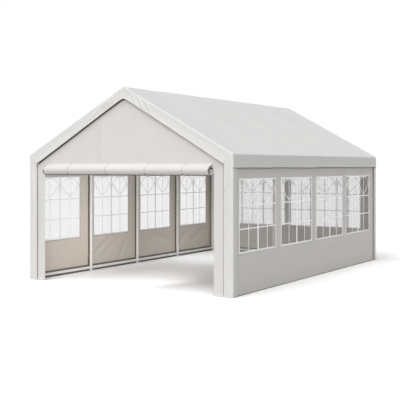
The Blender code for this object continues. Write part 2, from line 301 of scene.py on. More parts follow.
class Gathered:
    """Grids of points gathered into one mesh, with texture coordinates and a material for each face."""

    weld = 1e-6
    sharp_angle = 38.0
    turned_scale = 0.03

    def __init__(self) -> None:
        """Starts with no grid."""
        self._points: list[Array] = []
        self._uv: list[Array] = []
        self._faces: list[Array] = []
        self._marks: list[Array] = []
        self._count = 0

    def _add(self, points: Array, uv: Array, faces: Array, mark: int) -> None:
        """Adds points and the four-cornered faces that join them.

        Args:
            points: The points, in any grid by 3.
            uv: Their texture coordinates, in the same grid by 2.
            faces: Four numbers of these points for each face.
            mark: The material's number.
        """
        self._points.append(points.reshape(-1, 3))
        self._uv.append(uv.reshape(-1, 2))
        self._faces.append(faces + self._count)
        self._marks.append(np.full(len(faces), mark))
        self._count += self._points[-1].shape[0]

    @staticmethod
    def _quads(rows: int, columns: int, keep: Array | None = None) -> Array:
        """Faces of a grid of points.

        Args:
            rows: How many rows of points it has.
            columns: How many columns.
            keep: Which cells stay, where not all do.

        Returns:
            Four numbers of points for each face.
        """
        index = np.arange(rows * columns).reshape(rows, columns)
        quads = stacked(index[:-1, :-1], index[1:, :-1], index[1:, 1:], index[:-1, 1:])
        return quads[keep] if keep is not None else quads.reshape(-1, 4)

    def surface(self, points: Array, uv: Array, mark: int = 0) -> Gathered:
        """Adds an open or closed surface as it is.

        Args:
            points: Grid of points, rows by columns by 3.
            uv: Texture coordinates, rows by columns by 2.
            mark: The material's number.

        Returns:
            This collection.
        """
        self._add(points, uv, self._quads(*points.shape[:2]), mark)
        return self

    def sheet(
        self, points: Array, uv: Array, thickness: float, keep: Array | None = None, inner_mark: int = 0
    ) -> Gathered:
        """Adds a sheet: a grid of points, its copy moved back along the normals, and a rim round every edge.

        Args:
            points: Grid on the sheet's outer face, rows by columns by 3.
            uv: Texture coordinates in metres, rows by columns by 2.
            thickness: How far the inner face lies behind the outer one.
            keep: Which cells of the grid stay, where the sheet has holes.
            inner_mark: The inner face's material number.

        Returns:
            This collection.
        """
        rows, columns = points.shape[:2]
        quads = self._quads(rows, columns, keep)
        outer = points.reshape(-1, 3)
        inner = outer - grid_normals(points).reshape(-1, 3) * thickness
        used, flat = np.unique(quads, return_inverse=True)
        quads = flat.reshape(-1, 4)
        outer, inner, cloth_uv = outer[used], inner[used], uv.reshape(-1, 2)[used]
        edges = stacked(quads, np.roll(quads, -1, axis=1)).reshape(-1, 2)
        key = np.sort(edges, axis=1) @ np.array([len(used), 1])
        _, first, times = np.unique(key, return_index=True, return_counts=True)
        rim = edges[first[times == 1]]
        one, two = rim.T + self._count
        self._add(outer, cloth_uv, quads, 0)
        self._add(inner, cloth_uv, quads[:, ::-1], inner_mark)
        self._faces.append(stacked(two, one, one + len(used), two + len(used)))
        self._marks.append(np.zeros(len(rim), int))
        return self

    def swept(self, path: Array, side: Array, up: Array, profile: Array, mark: int = 0) -> Gathered:
        """Adds a closed bar: a closed profile carried along a path, and drawn to a point in its end planes.

        Args:
            path: Points along the bar, stations by 3.
            side: The profile's first direction at each station, stations by 3 or 3.
            up: The profile's second direction at each station, stations by 3 or 3.
            profile: The closed section, as points of two numbers without the repeated last one.
            mark: The material's number.

        Returns:
            This collection.
        """
        side = np.broadcast_to(side, path.shape)
        up = np.broadcast_to(up, path.shape)
        ring = np.concatenate([profile, profile[:1]])
        scale = np.ones(len(path) + 2)
        scale[[0, -1]] = 0
        at = np.r_[0, np.arange(len(path)), len(path) - 1]
        section = ring[None, :, :1] * side[at][:, None] + ring[None, :, 1:] * up[at][:, None]
        points = path[at][:, None] + scale[:, None, None] * section
        around = run_length(ring)
        along = run_length(path)[at]
        uv = stacked(around, along[:, None])
        return self.surface(points, uv, mark)

    def turned(self, profile: Array, base: Array, axis: Array, sides: int = 24, mark: int = 0) -> Gathered:
        """Adds a turned piece: a line of (radius, height) points carried once round an axis.

        Args:
            profile: The line, from pole to pole, as points of radius and height.
            base: Where height 0 is.
            axis: The axis's direction.
            sides: How many faces go round.
            mark: The material's number.

        Returns:
            This collection.
        """
        axis = unit(np.asarray(axis, float))
        helper = np.array([0.0, 1.0, 0.0]) if abs(axis[1]) < 0.9 else np.array([1.0, 0.0, 0.0])
        one = unit(np.cross(helper, axis))
        two = np.cross(axis, one)
        angle = np.linspace(0, 2 * np.pi, sides + 1)
        spoke = np.cos(angle)[:, None] * one + np.sin(angle)[:, None] * two
        points = np.asarray(base) + profile[:, :1, None] * spoke[None] + profile[:, 1:, None] * axis
        uv = stacked(angle * self.turned_scale, run_length(profile)[:, None])
        return self.surface(points, uv, mark)

    def made(self, name: str, finishes: Sequence[bpy.types.Material], closed: bool = True) -> Piece:
        """Makes the mesh object, welds its seams and poles, and shades it smooth with sharp edges kept.

        Args:
            name: The object's name.
            finishes: The materials, in the order of their numbers.
            closed: Whether every gathered piece is closed, so that its faces can be turned outwards.

        Returns:
            The object, at the origin.
        """
        points = np.concatenate(self._points)
        faces = np.concatenate(self._faces)
        uv = np.concatenate(self._uv)
        mesh = bpy.data.meshes.new(name)
        mesh.vertices.add(len(points))
        mesh.vertices.foreach_set("co", points.astype(np.float32).ravel())
        mesh.loops.add(faces.size)
        mesh.loops.foreach_set("vertex_index", faces.astype(np.int32).ravel())
        mesh.polygons.add(len(faces))
        mesh.polygons.foreach_set("loop_start", np.arange(0, faces.size, 4, dtype=np.int32))
        mesh.polygons.foreach_set("material_index", np.concatenate(self._marks).astype(np.int32))
        layer = mesh.uv_layers.new(name="cloth_metres")
        layer.data.foreach_set("uv", uv[faces.ravel()].astype(np.float32).ravel())
        mesh.update(calc_edges=True)
        edit = bmesh.new()
        edit.from_mesh(mesh)
        bmesh.ops.remove_doubles(edit, verts=edit.verts, dist=self.weld)
        if closed:
            bmesh.ops.recalc_face_normals(edit, faces=edit.faces)
        edit.to_mesh(mesh)
        edit.free()
        mesh.shade_smooth()
        mesh.set_sharp_from_angle(angle=math.radians(self.sharp_angle))
        for finish in finishes:
            mesh.materials.append(finish)
        thing = bpy.data.objects.new(name, mesh)
        bpy.context.scene.collection.objects.link(thing)
        return thing


def flat_bar(width: float, thickness: float) -> Array:
    """A flat section, width across and standing thickness above its line."""
    half = width / 2
    return np.array([[-half, 0.0], [half, 0.0], [half, thickness], [-half, thickness]])


# Finishes


@dataclass(frozen=True)
class Value:
    """One number that a node gives out. Arithmetic on it adds Math nodes to its material."""

    graph: Graph
    socket: Socket

    def _math(self, operation: str, *terms: Value | float) -> Value:
        """Adds a Math node for the terms, this value among them."""
        node = self.graph.node("ShaderNodeMath", {"operation": operation}, dict(enumerate(terms)))
        return Value(self.graph, node.outputs[0])

    def __add__(self, other: Value | float) -> Value:
        """The sum."""
        return self._math("ADD", self, other)

    __radd__ = __add__

    def __mul__(self, other: Value | float) -> Value:
        """The product."""
        return self._math("MULTIPLY", self, other)

    __rmul__ = __mul__

    def __sub__(self, other: Value | float) -> Value:
        """The difference."""
        return self._math("SUBTRACT", self, other)

    def __rsub__(self, other: Value | float) -> Value:
        """The difference the other way round."""
        return self._math("SUBTRACT", other, self)

    def __pow__(self, power: float) -> Value:
        """This value to a power."""
        return self._math("POWER", self, power)

    def __abs__(self) -> Value:
        """The value without its sign."""
        return self._math("ABSOLUTE", self)

    def wave(self, length: float) -> Value:
        """A sine from -1 to 1 that repeats every length."""
        return self._math("SINE", self * (2 * math.pi / length))

    def between(self, low: float, high: float) -> Value:
        """0 below low, 1 above high and a smooth step between them; low may be the larger."""
        inputs = {0: self, 1: low, 2: high, 3: 0.0, 4: 1.0}
        node = self.graph.node("ShaderNodeMapRange", {"interpolation_type": "SMOOTHSTEP"}, inputs)
        return Value(self.graph, node.outputs[0])


class Graph:
    """The nodes of one material, round its Principled shader."""

    def __init__(self, name: str) -> None:
        """Makes the material.

        Args:
            name: The material's name.
        """
        self.material = bpy.data.materials.new(name)
        self.material.use_nodes = True
        self.tree = self.material.node_tree
        self.shader = self.tree.nodes["Principled BSDF"]

    def node(self, kind: str, settings: dict[str, object], inputs: dict[int | str, object]) -> bpy.types.Node:
        """Adds one node.

        Args:
            kind: The node's type.
            settings: Its settings, which are set first.
            inputs: Values, colours, sockets or Value links, by the input's number or name.

        Returns:
            The node.
        """
        node = self.tree.nodes.new(kind)
        for name, setting in settings.items():
            setattr(node, name, setting)
        for name, given in inputs.items():
            self.feed(node, name, given)
        return node

    def feed(self, node: bpy.types.Node, name: int | str, given: object) -> None:
        """Links or sets one input of a node.

        Args:
            node: The node.
            name: The input's name or number.
            given: A Value or socket to link, or what to set.
        """
        socket = given.socket if isinstance(given, Value) else given
        if isinstance(socket, Socket):
            self.tree.links.new(socket, node.inputs[name])
        else:
            node.inputs[name].default_value = socket

    def set(self, **given: object) -> None:
        """Sets the shader's inputs; a name's underscores stand for spaces."""
        for name, value in given.items():
            self.feed(self.shader, name.replace("_", " "), value)

    def place(self) -> Socket:
        """The point in the piece's own coordinates, in metres."""
        return self.node("ShaderNodeTexCoord", {}, {}).outputs["Object"]

    def cloth_place(self) -> Socket:
        """The point on the cloth, in metres along and across it."""
        return self.node("ShaderNodeUVMap", {"uv_map": "cloth_metres"}, {}).outputs["UV"]

    def parts(self, vector: Socket) -> tuple[Value, Value, Value]:
        """The three numbers of a vector."""
        split = self.node("ShaderNodeSeparateXYZ", {}, {0: vector})
        return tuple(Value(self, split.outputs[n]) for n in range(3))

    def noise(self, place: Socket, scale: float, detail: float = 2.0) -> Value:
        """Soft noise from about 0 to 1.

        Args:
            place: Where it is read.
            scale: How many swells there are to a metre.
            detail: How many finer layers it has.

        Returns:
            The noise.
        """
        node = self.node("ShaderNodeTexNoise", {}, {"Vector": place, "Scale": scale, "Detail": detail})
        return Value(self, node.outputs[0])

    def mix(self, amount: Value | float, one: object, two: object) -> Socket:
        """A colour from one to two.

        Args:
            amount: 0 for one, 1 for two.
            one: A colour or a colour socket.
            two: A colour or a colour socket.

        Returns:
            The mixed colour.
        """
        return self.node("ShaderNodeMix", {"data_type": "RGBA"}, {0: amount, 6: one, 7: two}).outputs[2]

    def tint(self, amount: Value, colour: Colour, low: float, high: float) -> Socket:
        """A colour that goes from low to high times the given one, as amount goes from 0 to 1."""
        return self.mix(amount, shade(colour, low), shade(colour, high))

    def bump(self, height: Value, distance: float, strength: float = 1.0) -> None:
        """Gives the shader a relief of the given height, whose unit is distance metres."""
        node = self.node("ShaderNodeBump", {}, {"Strength": strength, "Distance": distance, "Height": height})
        self.feed(self.shader, "Normal", node.outputs[0])


def shade(colour: Colour, factor: float) -> tuple[float, float, float, float]:
    """The colour made lighter or darker, with full opacity."""
    return tuple(min(1.0, c * factor) for c in colour) + (1.0,)


@dataclass(frozen=True)
class Finish:
    """A finish: the material's name, its mean colour, and the nodes that dress it."""

    name: str
    colour: Colour

    def made(self) -> bpy.types.Material:
        """Makes the material and returns it."""
        graph = Graph(self.name)
        self.dress(graph)
        return graph.material

    def dress(self, graph: Graph) -> None:
        """Gives the material's shader its values and nodes."""
        raise NotImplementedError


@dataclass(frozen=True)
class CoatedSheet(Finish):
    """White coated sheet: a fine tape weave, soft crumples, slight mottling, and soil at its foot."""

    crumple: float = 0.0035
    weave: float = 0.0045
    weave_relief: float = 0.00006
    soil_height: float = 0.22
    soil: float = 0.28

    def dress(self, graph: Graph) -> None:
        """Mottles and soils the colour, and gives the surface its crumples and its weave."""
        place = graph.place()
        _, _, height = graph.parts(place)
        along, across, _ = graph.parts(graph.cloth_place())
        mottle = graph.noise(place, 1.3, 3.0)
        fine = graph.noise(place, 38.0, 3.0)
        soil = (1 - height.between(0.0, self.soil_height)) * graph.noise(place, 5.0, 4.0)
        clean = graph.tint(mottle * 0.75 + fine * 0.25, self.colour, 0.965, 1.03)
        graph.set(Base_Color=graph.mix(soil * self.soil, clean, shade(self.colour, 0.72)))
        graph.set(Roughness=0.50 + fine * 0.12 + mottle * 0.06)
        tapes = along.wave(self.weave) * across.wave(self.weave)
        crumple = abs(graph.noise(place, 4.2, 3.5) - 0.5) + graph.noise(place, 14.0, 2.0) * 0.18
        graph.bump(crumple + tapes * (self.weave_relief / self.crumple), self.crumple)
        graph.set(Sheen_Weight=0.08, Sheen_Roughness=0.6, Specular_IOR_Level=0.22)


@dataclass(frozen=True)
class ClearFilm(Finish):
    """Clear flexible window film: glossy, slightly milky, with soft upright ripples."""

    name: str = "clear_window_film"
    colour: Colour = (0.36, 0.38, 0.41)
    cover: float = 0.13
    rib: float = 0.049

    def dress(self, graph: Graph) -> None:
        """Makes the film nearly clear, a little milky along its ribs, and glossy."""
        place = graph.place()
        along, _, _ = graph.parts(graph.cloth_place())
        haze = graph.noise(place, 6.0, 3.0)
        ribs = along.wave(self.rib) * 0.5 + 0.5
        graph.set(Base_Color=graph.tint(haze, self.colour, 0.97, 1.03))
        graph.set(Alpha=self.cover + haze * 0.02 + ribs * 0.01)
        graph.set(Roughness=0.16 + haze * 0.10)
        graph.bump(graph.noise(place, 3.0, 1.0), 0.004, 0.15)
        graph.set(Specular_IOR_Level=0.6)


@dataclass(frozen=True)
class PrintedBar(Finish):
    """The white bars printed on the film. A weak glow stands for the daylight that comes through them."""

    name: str = "white_window_bar"
    colour: Colour = (0.90, 0.90, 0.90)
    cover: float = 0.76
    through: float = 0.16

    def dress(self, graph: Graph) -> None:
        """Gives the print its uneven cover and its fine grain."""
        place = graph.place()
        patch = graph.noise(place, 25.0, 3.0)
        graph.set(Base_Color=graph.tint(patch, self.colour, 0.96, 1.04))
        graph.set(Alpha=self.cover + patch * 0.04)
        # Painted light: the bars glow a little, standing for the daylight that shines through the print.
        graph.set(Emission_Color=shade(self.colour, 1.0), Emission_Strength=self.through)
        graph.set(Roughness=0.34 + patch * 0.14)
        graph.bump(graph.noise(place, 160.0, 2.0), 0.0004, 0.5)


@dataclass(frozen=True)
class PowderCoat(Finish):
    """White powder coat on steel tube: a fine orange-peel surface, with scuffs near the ground."""

    name: str = "white_powder_coat"
    colour: Colour = (0.80, 0.80, 0.79)
    scuff_height: float = 0.12

    def dress(self, graph: Graph) -> None:
        """Gives the coat its orange peel, and darkens, roughens and bares it where it is scuffed."""
        place = graph.place()
        _, _, height = graph.parts(place)
        patch = graph.noise(place, 9.0, 4.0)
        low = 1 - height.between(0.0, self.scuff_height)
        scuff = low * graph.noise(place, 60.0, 4.0).between(0.52, 0.70)
        clean = graph.tint(patch, self.colour, 0.96, 1.03)
        graph.set(Base_Color=graph.mix(scuff * 0.35, clean, shade(self.colour, 0.62)))
        graph.set(Roughness=0.30 + patch * 0.12 + scuff * 0.2)
        graph.set(Metallic=0.05 + scuff * 0.1)
        graph.bump(graph.noise(place, 420.0, 1.0), 0.0003, 0.6)
        graph.set(Coat_Roughness=0.2)


@dataclass(frozen=True)
class Zinc(Finish):
    """Bright zinc plate on the bolts."""

    name: str = "bright_zinc"
    colour: Colour = (0.62, 0.62, 0.60)

    def dress(self, graph: Graph) -> None:
        """Gives the plate its fine spangle."""
        spangle = graph.noise(graph.place(), 220.0, 2.0)
        graph.set(Base_Color=graph.tint(spangle, self.colour, 0.85, 1.1))
        graph.set(Roughness=0.28 + spangle * 0.2, Metallic=0.9)
        graph.bump(spangle, 0.0003, 0.4)


@dataclass(frozen=True)
class PaleFloor(Finish):
    """The pale studio floor. It throws back less light than it shows, as a cut-out ground does."""

    name: str = "pale_floor"
    colour: Colour = (0.97, 0.97, 0.97)
    bounce: float = 0.62

    def dress(self, graph: Graph) -> None:
        """Gives the floor one colour for the camera and a darker one for the light that it throws back."""
        patch = graph.noise(graph.place(), 0.8, 2.0)
        thrown = graph.node("ShaderNodeLightPath", {}, {}).outputs["Is Diffuse Ray"]
        seen = graph.tint(patch, self.colour, 0.995, 1.005)
        graph.set(Base_Color=graph.mix(thrown, seen, shade(self.colour, self.bounce)))
        graph.set(Roughness=0.62 + patch * 0.05)
        graph.set(Specular_IOR_Level=0.0)


@dataclass(frozen=True)
class ShadeTape(Finish):
    """Dark tape with a matt nap of short loops, laid where it paints shade."""

    def dress(self, graph: Graph) -> None:
        """Gives the tape its nap."""
        place = graph.place()
        nap = graph.noise(place, 420.0, 3.0)
        patch = graph.noise(place, 14.0, 2.0)
        graph.set(Base_Color=graph.tint(nap * 0.6 + patch * 0.4, self.colour, 0.80, 1.25))
        graph.set(Roughness=0.78 + nap * 0.15)
        graph.bump(nap, 0.0008, 0.8)
        graph.set(Specular_IOR_Level=0.25)


@dataclass(frozen=True)
class Webbing(Finish):
    """Woven strap webbing, ribbed across."""

    name: str = "grey_strap_webbing"
    colour: Colour = (0.50, 0.49, 0.48)
    rib: float = 0.0022
    yarn: float = 0.0040

    def dress(self, graph: Graph) -> None:
        """Gives the webbing its ribs and yarns."""
        across, along, _ = graph.parts(graph.cloth_place())
        patch = graph.noise(graph.place(), 40.0, 2.0)
        ribs = along.wave(self.rib) * 0.5 + across.wave(self.yarn) * 0.3
        graph.set(Base_Color=graph.tint(patch + ribs * 0.2, self.colour, 0.88, 1.10))
        graph.set(Roughness=0.62 + patch * 0.15)
        graph.bump(ribs, 0.0004)


class Finishes:
    """Every finish, made once."""

    def __init__(self) -> None:
        """Makes the materials."""
        self.cover = CoatedSheet("white_cover_sheet", (0.663, 0.668, 0.671), 0.0016).made()
        # Painted light: the cover's inner face is a warmer, darker copy, for warm light coming through the
        # cloth.
        self.cover_inside = CoatedSheet("cover_inside_painted_warm_light", (0.64, 0.60, 0.56)).made()
        self.wall = CoatedSheet("white_wall_sheet", (0.645, 0.641, 0.637), 0.0024).made()
        # Painted shade: the door is a darker copy of the wall sheet, which dims the rolled door's highlight.
        self.door = CoatedSheet("door_sheet_painted_shade", (0.618, 0.613, 0.607), 0.0024).made()
        # Painted light: the wall's inner face is a warmer, darker copy, for warm light coming through the
        # cloth.
        self.wall_inside = CoatedSheet("wall_inside_painted_warm_light", (0.62, 0.57, 0.515)).made()
        self.film = ClearFilm().made()
        self.bar = PrintedBar().made()
        self.paint = PowderCoat().made()
        self.zinc = Zinc().made()
        # Painted shade: the three dark tapes below are laid only where the tent has shade.
        self.dark_shade_tape = ShadeTape("dark_painted_shade_tape", (0.090, 0.087, 0.083)).made()
        self.brown_shade_tape = ShadeTape("brown_painted_shade_tape", (0.150, 0.142, 0.133)).made()
        self.grey_shade_tape = ShadeTape("grey_painted_shade_tape", (0.20, 0.185, 0.17)).made()
        self.webbing = Webbing().made()
        self.floor = PaleFloor().made()


def settle(piece: Piece, nodes: Sequence[str] = ()) -> Piece:
    """Puts a piece on the tent's one body and hides the solids that it stands for.

    Args:
        piece: The piece, at its place.
        nodes: The nodes that it replaces.

    Returns:
        The piece.
    """
    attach(piece, "root")
    if nodes:
        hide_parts(*nodes)
    LOG.info("%s: %d faces", piece.name, len(piece.data.polygons))
    return piece


# Cover


@dataclass
class RoofCover:
    """The roof cover with its valances: one section carried along the tent, sagging between the trusses."""

    finishes: Finishes
    eave_round: float = 0.034
    ridge_round: float = 0.045
    hem_round: float = 0.0001
    section_step: float = 0.035
    row_step: float = 0.075
    sag: float = 0.008
    ridge_flat: float = 0.03
    swell: float = 0.0016
    seam_half: float = 0.022
    seam_height: float = 0.0003
    seam_step: float = 0.002
    hem_width: float = 0.028
    flare: float = 0.0035
    hem_swing: float = 0.0038
    hem_wave: float = 0.55
    edge_round: float = 0.014
    edge_turn: float = 50.0
    edge_rows: int = 6
    # Painted shadow: the dark tape that hangs under each valance's hem.
    tape_drop: tuple[float, ...] = (0.022, 0.0, -0.012)
    tape_behind: float = 0.0014

    def _section(self) -> Array:
        """The outer line of the section, from the left hem over the ridge to the right hem."""
        half = TENT.width / 2
        low = TENT.eave - TENT.valance
        left = [(-half, low), (-half, low + self.hem_width), (-half, TENT.eave)]
        right = [(-x, z) for x, z in left[::-1]]
        corners = [*left, (0, TENT.ridge + TENT.rise), *right]
        radii = [self.hem_round, self.eave_round, self.ridge_round, self.eave_round, self.hem_round]
        return rounded(corners, radii, self.section_step)

    def _shape(self, section: Array, y: Array) -> Array:
        """The section carried along y, and moved along its own normal by sag, seams, hem and waves.

        Between two trusses the slopes sag by sag * sin(pi t)^2, less at eave and ridge. At each truss a
        welded lap stands seam_height up. Each valance waves outwards by up to 7 mm towards its hem. Past
        the last trusses the cover turns down over the gable's edge on an arc: y goes on by r sin(a), and the
        cover drops by r (1 - cos a) along its normal.

        Args:
            section: Points (x, z) of the section's outer line.
            y: Where the rows lie along the tent.

        Returns:
            The grid of points, one row for each y.
        """
        bent = []
        for face, way in ((TENT.front, -1.0), (TENT.back, 1.0)):
            begin = face - way * self.edge_round
            past = np.maximum((y - begin) * way, 0.0)
            angle = np.minimum(past / self.edge_round, 1.0) * math.radians(self.edge_turn)
            bent.append((past, way, angle))
        normal = np.gradient(section, axis=0)
        normal = unit(stacked(-normal[:, 1], normal[:, 0]))
        x, z = section.T
        places = TENT.truss_places
        bays = TENT.trusses - 1
        t = (y - places[0]) / (places[1] - places[0])
        dip = np.sin(np.pi * t) ** 2 * smooth(-0.02, 0.10, t) * (1 - smooth(bays - 0.1, bays + 0.02, t))
        across = np.clip((np.abs(x) - self.ridge_flat) / (TENT.post_x - self.ridge_flat), 0.0, 1.0)
        depth = self.sag * (0.35 + 0.65 * np.sin(np.pi * across)) * (z > TENT.eave + 0.003)
        lap = np.abs(y[:, None] - places).min(axis=1)
        seam = self.seam_height * (1 - smooth(self.seam_half - self.seam_step, self.seam_half, lap))
        swell = self.swell * slack(y[:, None], x, 5, 0.9) * dip[:, None]
        move = seam[:, None] - dip[:, None] * depth + swell * (depth > 0)
        hang = np.clip((TENT.eave - z) / TENT.valance, 0.0, 1.0)
        wave = slack(y[:, None], np.sign(x) * 3.0, 11, self.hem_wave)
        flare = np.maximum(self.flare + self.flare * wave, 0.0004)
        move = move * (1 - 0.6 * hang) + flare * hang ** 1.5
        hem_step = hem(z - (TENT.eave - TENT.valance), self.hem_width, TENT.hem_rise)
        move = move + hem_step * (z < TENT.eave)
        move = move * (1 - sum(angle > 0 for _, _, angle in bent)[:, None])
        along = y.copy()
        for past, way, angle in bent:
            along = along - way * past + way * self.edge_round * np.sin(angle)
            move = move - (self.edge_round * (1 - np.cos(angle)))[:, None]
        swing = self.hem_swing * slack(y, np.zeros_like(y), 17, self.hem_wave)
        up = z + move * normal[:, 1] + swing[:, None] * hang ** 2
        return stacked(x + move * normal[:, 0], along[:, None], up)

    def _tape(self, points: Array, y: Array) -> Piece:
        """A dark tape behind both valances' hems, which hangs out under them as a thin line of painted
        shadow.

        Args:
            points: The cover's grid.
            y: Where its rows lie.

        Returns:
            The tape's piece.
        """
        made = Gathered()
        drop = np.array(self.tape_drop)
        for side, edge in ((-1, points[:, 0]), (1, points[:, -1])):
            grid = np.repeat(edge[:, None], len(drop), axis=1)
            grid[..., 0] -= side * (TENT.cloth + self.tape_behind)
            grid[..., 2] += drop
            uv = stacked(y[:, None], drop)
            made.sheet(grid[2:-2], uv[2:-2], TENT.tape)
        return settle(made.made("valance_painted_shade", [self.finishes.grey_shade_tape]))

    def build(self) -> None:
        """Builds and dresses the cover."""
        section = self._section()
        stops = {TENT.front, TENT.back}
        for n in range(1, self.edge_rows + 1):
            run = self.edge_round * n / self.edge_rows
            stops |= {TENT.front + run, TENT.back - run}
        for place in TENT.truss_places:
            for offset in (self.seam_half, self.seam_half - self.seam_step):
                stops |= {float(place - offset), float(place + offset)}
        y = ruled(sorted(stops), self.row_step)
        points = self._shape(section, y)
        across = run_length(section)
        made = Gathered().sheet(points, stacked(y[:, None], across), TENT.cloth, inner_mark=1)
        piece = made.made("roof_cover_sheet", [self.finishes.cover, self.finishes.cover_inside])
        settle(piece, ["roof_cover"])
        self._tape(points, y)


@dataclass
class GableBand:
    """The cover's end flap: it follows the gable's edge and goes down both corner posts as leg covers.

    Each fold, in gathers and pulls, is a row of numbers: how far from the apex it starts and ends, how far
    from the band's outer edge it starts and ends, and its height.
    """

    finishes: Finishes
    end: End
    width: float = 0.160
    side_return: float = 0.120
    edge_round: float = 0.014
    flare: float = 0.008
    curl: float = 0.004
    ridge_drop: float = 0.172
    apex_round: Pair = (0.012, 0.038)
    corner_height: float = 1.975
    foot: float = 0.003
    hem_width: float = 0.020
    inset: float = 0.0006
    flat_extra: float = 0.06
    leg_starts: Pair = (2.24, 2.30)
    leg_pace: tuple[float, int, int] = (0.52, 28, 110)
    slope_pace: tuple[float, int, int] = (0.62, 45, 176)
    gathers: tuple[tuple[float, ...], ...] = (
        (0.05, 0.12, 0.020, 0.140, 0.0080), (0.15, 0.27, 0.020, 0.145, 0.0120),
        (0.23, 0.36, 0.015, 0.140, 0.0150), (0.31, 0.44, 0.010, 0.135, 0.0160),
        (0.39, 0.53, 0.010, 0.130, 0.0150), (0.48, 0.63, 0.020, 0.130, 0.0120),
        (0.58, 0.74, 0.030, 0.125, 0.0080), (0.70, 0.90, 0.040, 0.125, 0.0050),
    )
    pulls: tuple[tuple[float, ...], ...] = (
        (2.34, 2.58, 0.010, 0.125, 0.0090), (2.42, 2.72, 0.008, 0.130, 0.0110),
        (2.53, 2.88, 0.012, 0.120, 0.0090), (2.72, 3.12, 0.020, 0.125, 0.0060),
        (2.98, 3.50, 0.030, 0.120, 0.0040),
    )

    def _line(self, inner: bool) -> tuple[Array, Array]:
        """The band's outer or inner edge from the left foot over the apex to the right foot.

        Args:
            inner: Whether the inner edge is meant.

        Returns:
            The points (x, z) and the distance of each from the apex, with the left side's negative.
        """
        outer_x = TENT.width / 2 - TENT.cloth - self.inset
        lift = -TENT.cloth / TENT.cosine - self.inset
        top = TENT.ridge + TENT.rise + lift
        corner = TENT.eave + lift + TENT.tangent * (TENT.width / 2 - outer_x)
        leg = two_paced(*self.leg_pace)
        slope = two_paced(*self.slope_pace)[1:]
        if inner:
            outer_x, top, corner = outer_x - self.width, top - self.ridge_drop, self.corner_height
        half_x = np.concatenate([np.full(len(leg), outer_x), outer_x * (1 - slope)])
        fall = np.hypot(outer_x * (1 - slope), self.apex_round[inner]) * (top - corner) / outer_x
        half_z = np.concatenate([self.foot + (corner - self.foot) * leg, top - fall])
        line = stacked(np.concatenate([-half_x, half_x[-2::-1]]), np.concatenate([half_z, half_z[-2::-1]]))
        along = run_length(line)
        return line, along - along[len(half_x) - 1]

    def _folds(self, along: Array, across: Array) -> Array:
        """Folds of the band: gathers on both sides of the apex, and wrinkles on the legs' tops.

        The right side has three of the gathers, a little further from the apex. The left leg's wrinkles start
        lower and run longer than the right leg's.

        Args:
            along: Distance from the apex, negative on the left.
            across: Distance from the band's outer edge.

        Returns:
            The folds' heights in metres.
        """
        folds = 0.0012 * slack(along, across, 21 + self.end.value, 0.42)
        for near, far, low, high, tall in self.gathers:
            folds += 1.3 * tall * crease(along, across, (-near, low), (-far, high), 0.017)
        for near, far, low, high, tall in self.gathers[1:6:2]:
            folds += 0.9 * tall * crease(along, across, (near + 0.02, low), (far + 0.02, high), 0.018)
        for near, far, low, high, tall in self.pulls:
            folds += tall * crease(along, across, (near, low), (far, high), 0.020)
            folds += 0.8 * tall * crease(along, across, (-near - 0.10, low), (-far - 0.22, high), 0.022)
        return folds

    def _profile(self) -> tuple[Array, Array]:
        """The band's section: forward along the return, round the edge, and across to the hem.

        Returns:
            How far across the band each point lies, and how far behind its face.
        """
        turn = np.linspace(0, np.pi / 2, 9)[1:-1]
        radius = self.edge_round
        hem_line = self.width - self.hem_width
        back_run = ruled([radius, self.side_return], 0.018)[::-1]
        front_run = ruled([radius, hem_line, hem_line + TENT.hem_step, self.width], 0.0055)
        lateral = np.concatenate([np.zeros(len(back_run)), radius * (1 - np.cos(turn)), front_run])
        behind = np.concatenate([back_run, radius * (1 - np.sin(turn)), np.zeros(len(front_run))])
        return lateral, behind

    def build(self) -> None:
        """Builds and dresses the band."""
        outer, along = self._line(inner=False)
        inner, _ = self._line(inner=True)
        lateral, behind = self._profile()
        arc = run_length(stacked(lateral, behind))
        legs = smooth(*self.leg_starts, np.abs(along))[:, None]
        past = (behind - self.edge_round) * (0.25 + 0.75 * legs)
        depth = np.where(behind > self.edge_round, self.edge_round + past, behind)
        share = lateral / self.width
        across = np.broadcast_to(lateral, depth.shape)
        length = np.broadcast_to(along[:, None], depth.shape)
        relief = self._folds(length, across) * smooth(0.004, 0.045, across)
        relief += hem(self.width - across, self.hem_width, TENT.hem_rise)
        relief += self.flare * smooth(0.4 * self.width, self.width, across) * (1 - legs)
        relief -= self.curl * smooth(self.width - 0.012, self.width, across) * legs
        x, z = (outer[:, None, n] + (inner - outer)[:, None, n] * share for n in range(2))
        face = TENT.front if self.end is End.FRONT else TENT.back
        points = stacked(x, face + self.end.value * (relief - depth), z)
        if self.end is End.BACK:
            points = points[:, ::-1]
        made = Gathered().sheet(points, stacked(along[:, None], arc), TENT.cloth, inner_mark=1)
        piece = made.made(f"{self.end.word}_band_sheet", [self.finishes.cover, self.finishes.cover_inside])
        settle(piece, [f"{self.end.word}_gable_band"])
        run = float(along[-1] - along[0])
        run * (self.width + self.flat_extra)


# Walls and windows


@dataclass(frozen=True)
class WindowHole:
    """One window's hole in its wall: where it starts and ends along the wall."""

    low: float
    high: float
    node: str

    @property
    def width(self) -> float:
        """The hole's width."""
        return self.high - self.low


